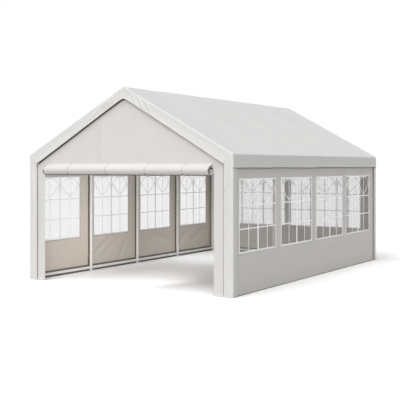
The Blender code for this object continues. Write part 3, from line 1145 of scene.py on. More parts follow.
@dataclass
class WindowPrint:
    """The bars of one window, as a drawing in the window's own plane.

    Coordinates are metres along the wall from the window's middle, and metres above the sill. The knee and
    the tip of a curved leg are given as shares of a light's half width, with the knee's height over the
    leg's foot in metres and the tip's as a share of the arch's rise.
    """

    width: float
    height: float = 1.120
    light: float = 0.56
    border: float = 0.022
    middle: float = 0.040
    quarter: float = 0.017
    cross: float = 0.018
    tracery: float = 0.015
    low_bar: float = 0.360
    high_bar: float = 0.714
    spring: float = 0.150
    crown: float = 0.380
    meet: float = 0.036
    knee: Pair = (0.50, 0.075)
    tip: Pair = (0.88, 0.475)
    step: float = 0.04

    def _straight(self, start: Sequence[float], end: Sequence[float], width: float) -> tuple[Array, float]:
        """A straight bar's points, and its width."""
        t = np.linspace(0, 1, max(2, math.ceil(math.dist(start, end) / self.step)))[:, None]
        return np.array(start) * (1 - t) + np.array(end) * t, width

    def lines(self) -> list[tuple[Array, float]]:
        """Every bar as a line of points and the bar's width.

        Broad bars part the window into equal lights, and a thin bar stands in the middle of each. In its top
        stands an arch of half an ellipse. Two curved legs part from the thin bar a little above the upper
        cross bar, get steeper, and end on the arch.

        Returns:
            Pairs of points (along, up) and width.
        """
        half, edge = self.width / 2, self.border / 2
        lights = max(1, round(self.width / self.light))
        pitch = self.width / lights
        centres = (np.arange(lights) - (lights - 1) / 2) * pitch
        top = self.height - edge
        found = [self._straight((side * (half - edge), 0), (side * (half - edge), self.height), self.border)
                 for side in (-1, 1)]
        found += [self._straight((-half, z), (half, z), self.border) for z in (edge, top)]
        found += [self._straight((x, self.border), (x, top), self.quarter) for x in centres]
        found += [self._straight((x, 0), (x, self.height), self.middle) for x in centres[1:] - pitch / 2]
        found += [self._straight((-half, z), (half, z), self.cross) for z in (self.low_bar, self.high_bar)]
        reach = pitch / 2 - self.middle / 2
        angle = np.linspace(0, np.pi, 31)
        rise = self.crown - self.spring
        spring = self.high_bar + self.spring
        arch = stacked(reach * np.cos(angle), spring + rise * np.sin(angle))
        t = np.linspace(0, 1, 12)[:, None]
        for centre in centres:
            found.append((arch + (centre, 0), self.tracery))
            foot = np.array([centre, self.high_bar + self.meet])
            for way in (-reach, reach):
                knee = foot + (way * self.knee[0], self.knee[1])
                tip = np.array([centre + way * self.tip[0], spring + rise * self.tip[1]])
                found.append(((1 - t) ** 2 * foot + 2 * t * (1 - t) * knee + t**2 * tip, self.tracery))
        return found


@dataclass
class Wall:
    """A wall sheet with window holes, and the film and bars of each window.

    A point on the wall is (u, z): u runs along it and z is the height. The place method gives the point in
    space, so that the sheet, the film and the bars share one shape.
    """

    name: str
    finishes: Finishes
    holes: Sequence[WindowHole] = ()
    film_lap: float = 0.020
    film_thickness: float = 0.0008
    film_step: float = 0.035
    film_gap: float = 0.0004
    ripple: float = 0.0010
    ripple_edge: float = 0.12
    bar_thickness: float = 0.0007
    bar_gap: float = 0.0002
    hem_width: float = 0.030
    fold_width: float = 0.016
    fold_rise: float = 0.0008
    tape_step: float = 0.022
    tape_inside: float = 0.0010

    def shape(self, u: Array, z: Array) -> Array:
        """How far the wall stands out of its plane, in metres."""
        raise NotImplementedError

    def place(self, u: Array, z: Array, out: Array) -> Array:
        """The point in space that stands out of the wall's plane by out."""
        raise NotImplementedError

    @property
    def flip(self) -> bool:
        """Whether a grid's columns run backwards, so that its normals point away from the tent's middle."""
        raise NotImplementedError

    def tapes(self) -> list[Piece]:
        """Builds the wall's dark tapes, which paint shade."""
        raise NotImplementedError

    def wall_grid(self) -> tuple[Array, Array, Array, float]:
        """The grid of the sheet.

        Returns:
            u, z, which cells stay, and the sheet's flat area.
        """
        raise NotImplementedError

    def _film_shape(self, hole: WindowHole, u: Array, z: Array) -> Array:
        """How far a window's film stands out: behind the wall, with soft ripples that die out at its edges.

        Args:
            hole: The window's hole.
            u: Places along the wall.
            z: Heights.

        Returns:
            Metres out of the wall's plane.
        """
        inside = 1.0
        for depth in (u - hole.low, hole.high - u, z - TENT.sill, TENT.head - z):
            inside = inside * smooth(0.0, self.ripple_edge, depth)
        ripple = self.ripple * inside * slack(u * 2.2, z * 0.5, 31, 0.7)
        return self.shape(u, z) + ripple - TENT.cloth - self.film_gap

    def film(self, hole: WindowHole) -> None:
        """Builds one window's film, which laps the edges of its hole on the inside.

        Args:
            hole: The window's hole.
        """
        lap = self.film_lap
        u = ruled([hole.low - lap, hole.low, hole.high, hole.high + lap], self.film_step)
        z = ruled([TENT.sill - lap, TENT.sill, TENT.head, TENT.head + lap], self.film_step)
        u, z = np.meshgrid(u, z)
        points = self.place(u, z, self._film_shape(hole, u, z))
        made = Gathered().sheet(points, stacked(u, z), self.film_thickness)
        piece = made.made(f"{hole.node}_film", [self.finishes.film])
        settle(piece, [hole.node])
        flat = (hole.width + 2 * lap, TENT.head - TENT.sill + 2 * lap)
        self.bars(hole)

    def bars(self, hole: WindowHole) -> Piece:
        """Builds the bars on one window's film: each line of the drawing carries a flat section.

        Args:
            hole: The window's hole.

        Returns:
            The bars' piece.
        """
        middle = (hole.low + hole.high) / 2
        lift = np.array([0.0, 0.0, 1.0, 1.0, 0.0]) * self.bar_thickness + self.bar_gap
        made = Gathered()
        for line, width in WindowPrint(hole.width).lines():
            run = unit(np.gradient(line, axis=0))
            side = stacked(-run[:, 1], run[:, 0]) * width / 2
            left, right = line + side, line - side
            corners = np.stack([left, right, right, left, left], axis=1)
            u, z = corners[..., 0] + middle, corners[..., 1] + TENT.sill
            points = self.place(u, z, self._film_shape(hole, u, z) + lift)
            first, last = (points[n:][:1, :4].mean(axis=1, keepdims=True).repeat(5, axis=1) for n in (0, -1))
            points = np.concatenate([first, points, last])
            made.surface(points, np.zeros(points.shape[:2] + (2,)))
        return settle(made.made(f"{hole.node}_bars", [self.finishes.bar]))

    def tape(self, name: str, strips: Sequence[tuple[float, float, float, float]], out: float,
             finish: bpy.types.Material) -> Piece:
        """Builds upright and level strips of dark tape on the wall, which paint shade.

        Args:
            name: What the strips are.
            strips: Each strip's lowest and highest u, and its lowest and highest z.
            out: How far the strips' outer face stands out of the sheet's outer face.
            finish: The tape's material.

        Returns:
            The piece, with all the strips.
        """
        made = Gathered()
        for low, high, foot, top in strips:
            u, z = np.meshgrid(ruled([low, high], self.tape_step), ruled([foot, top], self.tape_step))
            if self.flip:
                u = u[:, ::-1]
            made.sheet(self.place(u, z, self.shape(u, z) + out), stacked(u, z), TENT.tape)
        return settle(made.made(f"{self.name}_{name}_tape", [finish]))

    def build(self) -> None:
        """Builds and dresses the wall, and its windows' films and bars."""
        u, z, keep, area = self.wall_grid()
        out = self.shape(u, z) + hem(z - TENT.hem_height, self.hem_width, TENT.hem_rise)
        for hole in self.holes:
            beside = np.maximum(hole.low - u, u - hole.high)
            near = np.maximum(beside, np.maximum(TENT.sill - z, z - TENT.head))
            out = out + np.where(near >= -1e-6, hem(near, self.fold_width, self.fold_rise), 0.0)
        made = Gathered().sheet(self.place(u, z, out), stacked(u, z), TENT.cloth, keep=keep, inner_mark=1)
        piece = made.made(f"{self.name}_sheet", [self.finishes.wall, self.finishes.wall_inside])
        settle(piece, [self.name])
        flat = (float(u.max() - u.min()), float(z.max() - z.min()))
        self.tapes()
        for hole in self.holes:
            self.film(hole)

    @property
    def holes_area(self) -> float:
        """The area of all the window holes."""
        return sum(hole.width for hole in self.holes) * (TENT.head - TENT.sill)

    def _hole_stops(self) -> list[float]:
        """Grid lines along the wall at and beside every window's edges."""
        steps = (0.0, self.fold_width - TENT.hem_step, self.fold_width)
        return [edge + way * step for hole in self.holes for edge, way in ((hole.low, -1), (hole.high, 1))
                for step in steps]

    def _low_stops(self) -> list[float]:
        """Heights of the grid's lines at and beside the hem's edge and the sills."""
        hem_line = TENT.hem_height + self.hem_width
        fold_line = TENT.sill - self.fold_width
        stops = [TENT.hem_height, hem_line - TENT.hem_step, hem_line]
        return stops + [fold_line, fold_line + TENT.hem_step, TENT.sill]

    def _high_stops(self) -> list[float]:
        """Heights of the grid's lines at and beside the window heads."""
        fold_line = TENT.head + self.fold_width
        return [TENT.head, fold_line - TENT.hem_step, fold_line]

    def _cut(self, u: Array, z: Array) -> Array:
        """Which cells of a grid lie outside every window hole."""
        middle_u, middle_z = cell_middles(u), cell_middles(z)
        keep = np.ones(middle_u.shape, bool)
        for hole in self.holes:
            inside = (middle_u > hole.low) & (middle_u < hole.high)
            keep &= ~(inside & (middle_z > TENT.sill) & (middle_z < TENT.head))
        return keep


@dataclass
class SideWall(Wall):
    """A long wall. u is the place along the tent. A crease has a start, an end, half a width and a height."""

    side: Side = Side.RIGHT
    swell: float = 0.0022
    along_step: float = 0.022
    low_step: float = 0.022
    high_step: float = 0.040
    # Painted shade: dark tapes inside at the foot and by each post, and a painted contact shadow on the outer
    # hem.
    foot_tape: Pair = (0.006, 0.100)
    post_tape: Pair = (0.008, 0.050)
    post_tape_top: float = 2.08
    tape_end: float = 0.003
    hem_line: Pair = (0.0015, 0.0095)
    hem_line_out: float = 0.0022
    creases: tuple[Crease, ...] = (
        ((-0.62, 0.63), (-1.42, 0.15), 0.055, 0.0200), ((-0.44, 0.56), (-1.05, 0.18), 0.045, 0.0120),
        ((-0.20, 0.50), (-0.50, 0.10), 0.045, 0.0100), ((0.45, 0.60), (1.48, 0.33), 0.055, 0.0180),
        ((0.35, 0.18), (0.80, 0.60), 0.050, 0.0120), ((2.20, 0.62), (1.62, 0.18), 0.055, 0.0180),
        ((2.78, 0.56), (2.05, 0.22), 0.055, 0.0120), ((-1.70, 0.60), (-2.50, 0.18), 0.065, 0.0100),
        ((-2.30, 0.58), (-2.80, 0.30), 0.055, 0.0080),
    )

    @property
    def flip(self) -> bool:
        """True on the left wall."""
        return self.side is Side.LEFT

    def shape(self, u: Array, z: Array) -> Array:
        """A slow swell, and slanting folds below the windows, which are strong on the left wall."""
        low = (1 - smooth(0.52, 0.64, z)) * smooth(0.0, 0.14, z - 0.01)
        out = self.swell * slack(u, z, 41 + self.side.value, 1.1) * smooth(0.0, 0.3, 2.1 - z)
        out = out + self.swell * low * slack(u, z, 43 + self.side.value, 0.5)
        share = 1.3 if self.side is Side.LEFT else 0.20
        for start, end, width, height in self.creases:
            out = out + share * height * low * crease(u, z, start, end, width)
        return out

    def tapes(self) -> list[Piece]:
        """Builds the dark tapes of painted shade: at the foot and by each post inside, and on the hem."""
        u, _, _, _ = self.wall_grid()
        low, high = float(u.min()) + self.tape_end, float(u.max()) - self.tape_end
        under = -(TENT.cloth + self.tape_inside)
        behind, ahead = self.post_tape
        foot = self.foot_tape[1] + 0.002
        upright = [(max(low, y + behind), min(high, y + ahead), foot, self.post_tape_top)
                   for y in TENT.truss_places]
        return [
            self.tape("foot", [(low, high, *self.foot_tape)], under, self.finishes.grey_shade_tape),
            self.tape("post", upright, under, self.finishes.grey_shade_tape),
            self.tape("hem", [(low, high, *self.hem_line)], self.hem_line_out, self.finishes.dark_shade_tape),
        ]

    def place(self, u: Array, z: Array, out: Array) -> Array:
        """The point in space, with out measured away from the tent's middle."""
        return stacked(self.side.value * (TENT.wall_face + out), u, z)

    def wall_grid(self) -> tuple[Array, Array, Array, float]:
        """The grid between the end walls, from the hem to just under the roof.

        Returns:
            u, z, which cells stay, and the sheet's flat area.
        """
        inset = TENT.end_inset + TENT.solid_cloth + TENT.gap
        low, high = TENT.front + inset, TENT.back - inset
        along = ruled(sorted({low, high, *self._hole_stops()}), self.along_step)
        top = float(TENT.under_roof(TENT.wall_face)) - TENT.gap
        upper = ruled([TENT.sill, *self._high_stops(), top], self.high_step)
        up = np.append(ruled(self._low_stops(), self.low_step), upper[1:])
        u, z = np.meshgrid(along[::-1] if self.flip else along, up)
        return u, z, self._cut(u, z), (high - low) * (top - TENT.hem_height) - self.holes_area


@dataclass
class EndWall(Wall):
    """A gable wall. u is the distance across the tent, and the front one is open at the doorway."""

    end: End = End.FRONT
    doorway: Pair = (-1.675, 1.652)
    across_step: float = 0.024
    low_step: float = 0.030
    high_rows: int = 48
    roof_gap: float = 0.0012
    swell: float = 0.0022
    stand: float = 0.0030
    # Painted shade: dark tapes under the band's inner edge, beside the leg covers and along the back wall's
    # foot.
    tape_half: float = 1.815
    tape_rows: int = 5
    tape_above: float = 0.022
    tape_below: Pair = (0.020, 0.011)
    tape_out: float = 0.0016
    foot_tape: Pair = (0.014, 0.100)
    foot_tape_inset: float = 0.06
    upright_tapes: tuple[tuple[float, float, float, float], ...] = (
        (-1.870, -1.851, 0.020, 1.965), (1.8195, 1.840, 0.020, 1.965),
    )
    panel_creases: tuple[Crease, ...] = (
        ((-0.52, 1.90), (-0.42, 2.76), 0.048, 0.0150), ((-1.00, 1.95), (-0.62, 2.52), 0.080, 0.0070),
        ((0.20, 1.94), (0.66, 2.62), 0.110, 0.0050), ((1.00, 1.95), (1.60, 2.16), 0.060, 0.0035),
    )
    back_creases: tuple[Crease, ...] = (
        ((-1.20, 0.06), (-0.50, 0.60), 0.060, 0.0060), ((1.30, 0.05), (0.40, 0.56), 0.060, 0.0060),
        ((0.00, 1.76), (0.05, 2.80), 0.080, 0.0050),
    )

    @property
    def half(self) -> float:
        """Half the wall's width."""
        return TENT.wall_face - TENT.solid_cloth - TENT.gap

    @property
    def flip(self) -> bool:
        """True on the back wall."""
        return self.end is End.BACK

    def band_edge(self, u: Array) -> Array:
        """Height of the gable band's inner edge: a straight fall from under the apex to the leg covers.

        Args:
            u: Distance from the middle, of either sign.

        Returns:
            The height at each u.
        """
        apex = TENT.ridge + TENT.rise - TENT.cloth / TENT.cosine - GableBand.ridge_drop
        corner = TENT.width / 2 - TENT.cloth - GableBand.width
        return apex - (apex - GableBand.corner_height) * np.hypot(u, GableBand.apex_round[True]) / corner

    def shape(self, u: Array, z: Array) -> Array:
        """A slow swell and a few long soft folds, which only stand outwards and die out at the slopes."""
        out = self.stand + self.swell * slack(u, z, 51 + self.end.value, 0.9)
        folds = 0.0 * u
        for start, end, width, height in self.panel_creases if self.end is End.FRONT else self.back_creases:
            folds = folds + height * crease(u, z, start, end, width)
        folds = folds * smooth(0.01, 0.12, self.band_edge(u) - z)
        if self.end is End.FRONT:
            folds = folds * smooth(1.99, 2.12, z)
        edge = smooth(0.0, 0.05, self.half - np.abs(u))
        return np.maximum(out + folds, 0.0004) * edge

    def _slope_tape(self) -> Piece:
        """Builds the dark tape that shows under the gable band's inner edge, as painted shade under that
        edge.

        The tape's rows run parallel to the band's edge, from tape_above it, hidden, to tape_below it, on the
        left and on the right.

        Returns:
            The tape's piece.
        """
        along = ruled([-self.tape_half, 0.0, self.tape_half], self.tape_step)
        u, share = np.meshgrid(along, np.linspace(0, 1, self.tape_rows))
        left, right = self.tape_below
        below = left + (right - left) * smooth(-0.03, 0.05, u)
        z = self.band_edge(u) + (share * (self.tape_above + below) - below) / TENT.cosine
        if self.flip:
            u, z = u[:, ::-1], z[:, ::-1]
        points = self.place(u, z, self.shape(u, z) + self.tape_out)
        made = Gathered().sheet(points, stacked(u, z), TENT.tape)
        return settle(made.made(f"{self.name}_slope_tape", [self.finishes.brown_shade_tape]))

    def tapes(self) -> list[Piece]:
        """Builds the dark tapes of painted shade: by the gable band's inner edge, and on the back wall's
        foot.
        """
        found = [self._slope_tape(),
                 self.tape("upright", self.upright_tapes, self.tape_out, self.finishes.brown_shade_tape)]
        if self.end is End.BACK:
            reach = self.half - self.foot_tape_inset
            strips = [(-reach, reach, *self.foot_tape)]
            found.append(self.tape("foot", strips, -TENT.cloth - self.tape_inside, self.finishes.grey_shade_tape))
        return found

    def place(self, u: Array, z: Array, out: Array) -> Array:
        """The point in space, with out measured away from the tent's middle."""
        face = TENT.front + TENT.end_inset if self.end is End.FRONT else TENT.back - TENT.end_inset
        return stacked(u, face + self.end.value * out, z)

    def wall_grid(self) -> tuple[Array, Array, Array, float]:
        """Level rows up to the doorway's head, and above it rows that close up towards the roof's slopes.

        Returns:
            u, z, which cells stay, and the sheet's flat area.
        """
        half = self.half
        low_u, high_u = self.doorway
        across = ruled(sorted({-half, low_u, 0.0, high_u, half, *self._hole_stops()}), self.across_step)
        low = ruled([*self._low_stops(), *self._high_stops(), TENT.door_head], self.low_step)
        share = np.linspace(0, 1, self.high_rows + 1)[1:]
        top = TENT.under_roof(across) - TENT.gap - self.roof_gap
        high = TENT.door_head + share[:, None] * (top - TENT.door_head)
        z = np.concatenate([np.repeat(low[:, None], len(across), axis=1), high])
        u = np.broadcast_to(across, z.shape)
        if self.flip:
            u, z = u[:, ::-1], z[:, ::-1]
        keep = self._cut(u, z)
        shoulder = float(TENT.under_roof(half))
        area = 2 * half * (shoulder - TENT.hem_height) + half * (float(TENT.under_roof(0.0)) - shoulder)
        area -= self.holes_area
        if self.end is End.FRONT:
            middle_u, middle_z = cell_middles(u), cell_middles(z)
            keep &= (middle_u < low_u) | (middle_u > high_u) | (middle_z > TENT.door_head)
            area -= (high_u - low_u) * (TENT.door_head - TENT.hem_height)
        return u, z, keep, area


# Rolled door


@dataclass
class RolledDoor:
    """The front door rolled up under the gable panel, the straps round it, and dark tapes of painted shade on
    its edges.
    """

    finishes: Finishes
    radius: float = 0.066
    turns: float = 4.60
    pitch: float = 0.0096
    sink: float = 0.0042
    left: float = -1.615
    right: float = 1.655
    height: float = 1.868
    panel_gap: float = 0.0023
    leaves: float = 0.125
    stands: float = 0.0066
    meets: float = 120.0
    turn_points: int = 40
    flap_points: int = 17
    flap_bend: float = 0.045
    flap_reach: float = 0.050
    swell: float = 0.012
    fuller: float = 0.010
    pinches: tuple[Pair, ...] = ((0.055, 0.016), (0.030, 0.075))
    sway: float = 0.0016
    ragged: float = 0.003
    fine_step: float = 0.009
    coarse_step: float = 0.035
    straps: tuple[float, ...] = (-1.080, -0.300, 0.470, 1.160)
    strap_width: float = 0.018
    strap_thickness: float = 0.0014
    strap_gap: float = 0.0005
    strap_end: float = 388.0
    strap_reach: float = 0.10
    # Painted shade: the dark hook ends, and the fifth strap's at the left end, darken the roll's lower edge.
    hook_shade_arc: Pair = (224.0, 266.0)
    hook_narrower: float = 0.003
    end_strap: float = -1.600
    end_shade_arc: Pair = (166.0, 262.0)
    # Painted shade: a brown tape hangs under the roll as a thin dark line.
    edge_angle: float = 268.0
    edge_drop: float = 0.014
    edge_inset: Pair = (0.010, 0.006)
    edge_step: float = 0.012
    edge_behind: float = 0.0010
    flush_turns: float = 1.25
    hollow: float = 0.160
    hollow_pace: float = 4.0
    slant: float = 0.036
    flap_pull: float = 0.016
    end_reach: float = 0.45
    # Painted shade: a dark tape lines the top inside of the roll's right end.
    side_arc: Pair = (385.0, 505.0)
    side_width: float = 0.050
    side_inset: float = 0.002
    side_behind: float = 0.0014

    @property
    def y(self) -> float:
        """Where the roll's axis lies."""
        return TENT.front + TENT.end_inset - self.radius - self.panel_gap

    def _girth(self, x: Array, share: Array) -> Array:
        """The roll's size at a place: 1, less the pinches at each strap, plus a slow swell.

        A pinch has a depth and half a width.

        Args:
            x: Places along the roll.
            share: How much each point follows the girth.

        Returns:
            The factor by which the section grows.
        """
        size = self.swell * slack(x, 0.0 * x, 61, 0.5)
        for strap in self.straps:
            for depth, width in self.pinches:
                size = size - depth * np.exp(-(((x - strap) / width) ** 2))
        return 1.0 + (size + self.fuller) * share

    def _section(self) -> tuple[Array, Array, Array]:
        """The sheet's line across the roll, from the panel inwards.

        The sheet leaves the panel downwards and swings out on a cubic curve until it meets the roll. Then it
        goes over the front, under and round, on a spiral whose radius falls by pitch each turn and whose
        middle sinks by sink.

        Returns:
            The points (y, z) from the roll's axis, the angle of each, and how much each follows the girth.
        """
        meets = math.radians(self.meets)
        start = np.array([self.radius + self.panel_gap - self.stands, self.leaves])
        touch = self.radius * np.array([math.cos(meets), math.sin(meets)])
        way = np.array([-math.sin(meets), math.cos(meets)])
        t = np.linspace(0, 1, self.flap_points)[:-1, None]
        flap = (1 - t) ** 3 * start + 3 * (1 - t) ** 2 * t * (start - (0.0, self.flap_bend))
        flap = flap + 3 * (1 - t) * t**2 * (touch - self.flap_reach * way) + t**3 * touch
        turn = np.linspace(0, self.turns, round(self.turns * self.turn_points) + 1)
        angle = meets + turn * 2 * np.pi
        spiral = (self.radius - self.pitch * turn)[:, None] * stacked(np.cos(angle), np.sin(angle))
        spiral[:, 1] -= self.sink * turn
        share = np.concatenate([smooth(0.0, 1.0, t[:, 0]), np.ones(len(turn))])
        angle = np.concatenate([np.full(len(t), meets), angle])
        return np.concatenate([flap, spiral]), angle, share

    def _right_end(self, angle: Array, share: Array) -> Array:
        """How far the sheet's right edge is drawn in, as a negative number.

        The front of each turn is shorter than its back by slant, the turns after the first flush_turns end up
        to hollow deeper, and the flap is shorter by flap_pull.

        Args:
            angle: The angle of each point round the roll.
            share: How much each point belongs to the roll and not to the flap.

        Returns:
            Metres along x at each point.
        """
        deeper = np.maximum((angle - math.radians(self.meets)) / (2 * np.pi) - self.flush_turns, 0)
        hollow = self.hollow * (1 - np.exp(-self.hollow_pace * deeper))
        ragged = self.ragged * slack(angle * 0.1, np.zeros_like(angle), 71, 0.6)
        end = ragged - self.slant * (1 - np.cos(angle)) / 2 - hollow
        return share * end - (1 - share) * self.flap_pull

    def _on_roll(self, x: Array, keep: Array, lift: float) -> Array:
        """Points on the roll.

        Args:
            x: Places along the roll, one row each.
            keep: Which points of the section are used, one column each.
            lift: How far the points lie above the sheet's outer face.

        Returns:
            The grid of points.
        """
        line, angle, share = self._section()
        run = unit(np.gradient(line, axis=0))
        line = line + lift * stacked(run[:, 1], -run[:, 0])
        line, angle, share = line[keep], angle[keep], share[keep]
        size = self._girth(x[:, None], share)
        sway = self.sway * slack(x, np.zeros_like(x), 67, 1.2)[:, None] * share
        near_end = smooth(self.right - self.end_reach, self.right, x)[:, None]
        along = x[:, None] + near_end * self._right_end(angle, share)
        return stacked(along, self.y + size * line[:, 0], self.height + size * line[:, 1] + sway)

    def _rows(self) -> Array:
        """Where the roll's rows of points lie along x: closer together by the straps."""
        reach = self.strap_reach
        beside = (-reach, -reach / 2, reach / 2, reach)
        stops = sorted({self.left, self.right, *(strap + away for strap in self.straps for away in beside)})
        runs = [ruled([low, high], self.fine_step if high - low < 1.1 * reach else self.coarse_step)[:-1]
                for low, high in zip(stops, stops[1:])]
        return np.append(np.concatenate(runs), self.right)

    def _between(self, low: float, high: float) -> Array:
        """Numbers of the section's points from the angle low to the angle high, in degrees."""
        degrees = np.degrees(self._section()[1])
        return np.flatnonzero((degrees >= low) & (degrees <= high))

    def _strap(self, number: int, x: float, hook_shade_arc: Pair) -> Piece:
        """Builds one strap: from the panel over the roll's front and up behind, with a dark hook end of
        painted shade.

        Args:
            number: The strap's number.
            x: Where it lies.
            hook_shade_arc: Where its dark hook end starts and ends round the roll, in degrees.

        Returns:
            The strap's piece.
        """
        thickness = self.strap_thickness
        layers = (
            (self._between(0.0, self.strap_end), self.strap_gap, self.strap_width, 0),
            (self._between(*hook_shade_arc), self.strap_gap + thickness, self.strap_width - self.hook_narrower, 1),
        )
        made = Gathered()
        for keep, lift, width, mark in layers:
            path = self._on_roll(np.array([x]), keep, lift)[0]
            run = unit(np.gradient(path, axis=0))
            up = stacked(0.0, run[:, 2], -run[:, 1])
            made.swept(path, np.array([1.0, 0.0, 0.0]), up, flat_bar(width, thickness), mark)
        piece = made.made(f"door_strap_{number}", [self.finishes.webbing, self.finishes.dark_shade_tape])
        return settle(piece)

    def _edge(self) -> Piece:
        """Builds the tape of the door's lower edge, which hangs as a thin line of painted shade under the
        roll.
        """
        _, angle, _ = self._section()
        lowest = np.array([np.argmin(np.abs(np.degrees(angle) - self.edge_angle))])
        left, right = self.edge_inset
        x = ruled([self.left + left, self.right - right], self.edge_step)
        drop = np.linspace(0.0, self.edge_drop, 4)
        points = self._on_roll(x, lowest, -self.edge_behind) - stacked(0.0, 0.0, drop)
        made = Gathered().sheet(points, stacked(x[:, None], drop), TENT.tape)
        return settle(made.made("door_edge_painted_shade", [self.finishes.brown_shade_tape]))

    def _side(self) -> Piece:
        """Builds the dark tape of the door's right edge, painted shade inside the top of the roll's end."""
        keep = self._between(*self.side_arc)
        x = np.linspace(self.right - self.side_width, self.right - self.side_inset, 7)
        points = self._on_roll(x, keep, -TENT.cloth - self.side_behind)
        made = Gathered().sheet(points, stacked(x[:, None], 0.01 * np.arange(len(keep))), TENT.tape)
        return settle(made.made("door_side_painted_shade", [self.finishes.dark_shade_tape]))

    def build(self) -> None:
        """Builds the straps and tapes, and the roll under them: the section carried along x."""
        pieces = [self._strap(n, x, self.hook_shade_arc) for n, x in enumerate(self.straps, 1)]
        pieces += [self._strap(5, self.end_strap, self.end_shade_arc), self._edge(), self._side()]
        x, length = self._rows(), run_length(self._section()[0])
        points = self._on_roll(x, np.arange(len(length)), 0.0)
        made = Gathered().sheet(points, stacked(x[:, None], length), TENT.cloth, inner_mark=1)
        piece = made.made("door_roll_sheet", [self.finishes.door, self.finishes.door])
        settle(piece, ["door_roll"])


# Frame


class Steelwork(Gathered):
    """Tubes and fittings gathered into one mesh: paint has the material number 0, zinc 1, the shade strip 2.
    """

    sides = 28
    bolt_sides = 14
    bolt_sink = 0.0006
    ease = 0.0012
    strip_section = (0.004, 0.0245)

    def tube(self, start: Sequence[float], end: Sequence[float], radius: float) -> None:
        """Adds a straight tube with slightly eased ends.

        Args:
            start: The middle of its first end.
            end: The middle of its other end.
            radius: Its outer radius.
        """
        start, end = np.asarray(start, float), np.asarray(end, float)
        length = float(np.linalg.norm(end - start))
        ease, third = self.ease, self.ease * 0.3
        profile = np.array([
            (0, 0), (radius - ease, 0), (radius - third, third), (radius, ease),
            (radius, length - ease), (radius - third, length - third), (radius - ease, length), (0, length),
        ])
        self.turned(profile, start, end - start, self.sides)

    def socket(self, start: Array, way: Array, reach: float) -> None:
        """Adds a sleeve with a rolled lip at its mouth and a weld bead at its root.

        Args:
            start: The middle of its root.
            way: The direction of its mouth.
            reach: Its length.
        """
        r, bore = TENT.sleeve, TENT.tube + 0.0004
        profile = np.array([
            (0, 0), (r + 0.0005, 0.0), (r + 0.0030, 0.006), (r + 0.0026, 0.010), (r, 0.014),
            (r, reach - 0.008), (r + 0.0014, reach - 0.006), (r + 0.0018, reach - 0.003),
            (r + 0.0012, reach - 0.0006), (r - 0.001, reach), (bore, reach - 0.001),
            (bore, reach - 0.012), (0, reach - 0.012),
        ])
        self.turned(profile, start, way, self.sides)

    def bolt(self, at: Sequence[float], way: Sequence[float]) -> None:
        """Adds a bolt's domed head on a washer.

        Args:
            at: The point on a sleeve where it sits.
            way: The direction outwards.
        """
        angle = np.linspace(0, np.pi / 2, 6)[::-1]
        dome = stacked(0.0062 * np.cos(angle), 0.0028 + 0.0038 * np.sin(angle))
        profile = np.concatenate([dome, [(0.0062, 0.0016), (0.0095, 0.0014), (0.0095, 0.0), (0, 0)]])
        base = np.asarray(at, float) - np.asarray(way, float) * self.bolt_sink
        self.turned(profile, base, way, self.bolt_sides, mark=1)

    def strip(self, start: Place, end: Place) -> None:
        """Adds the dark strip of painted shade that hangs from a rail to the ground, from start to end."""
        path = np.array([start, end])
        run = unit(path[1] - path[0])
        profile = flat_bar(*self.strip_section)
        self.swept(path, np.array([-run[1], run[0], 0.0]), np.array([0.0, 0.0, 1.0]), profile, 2)


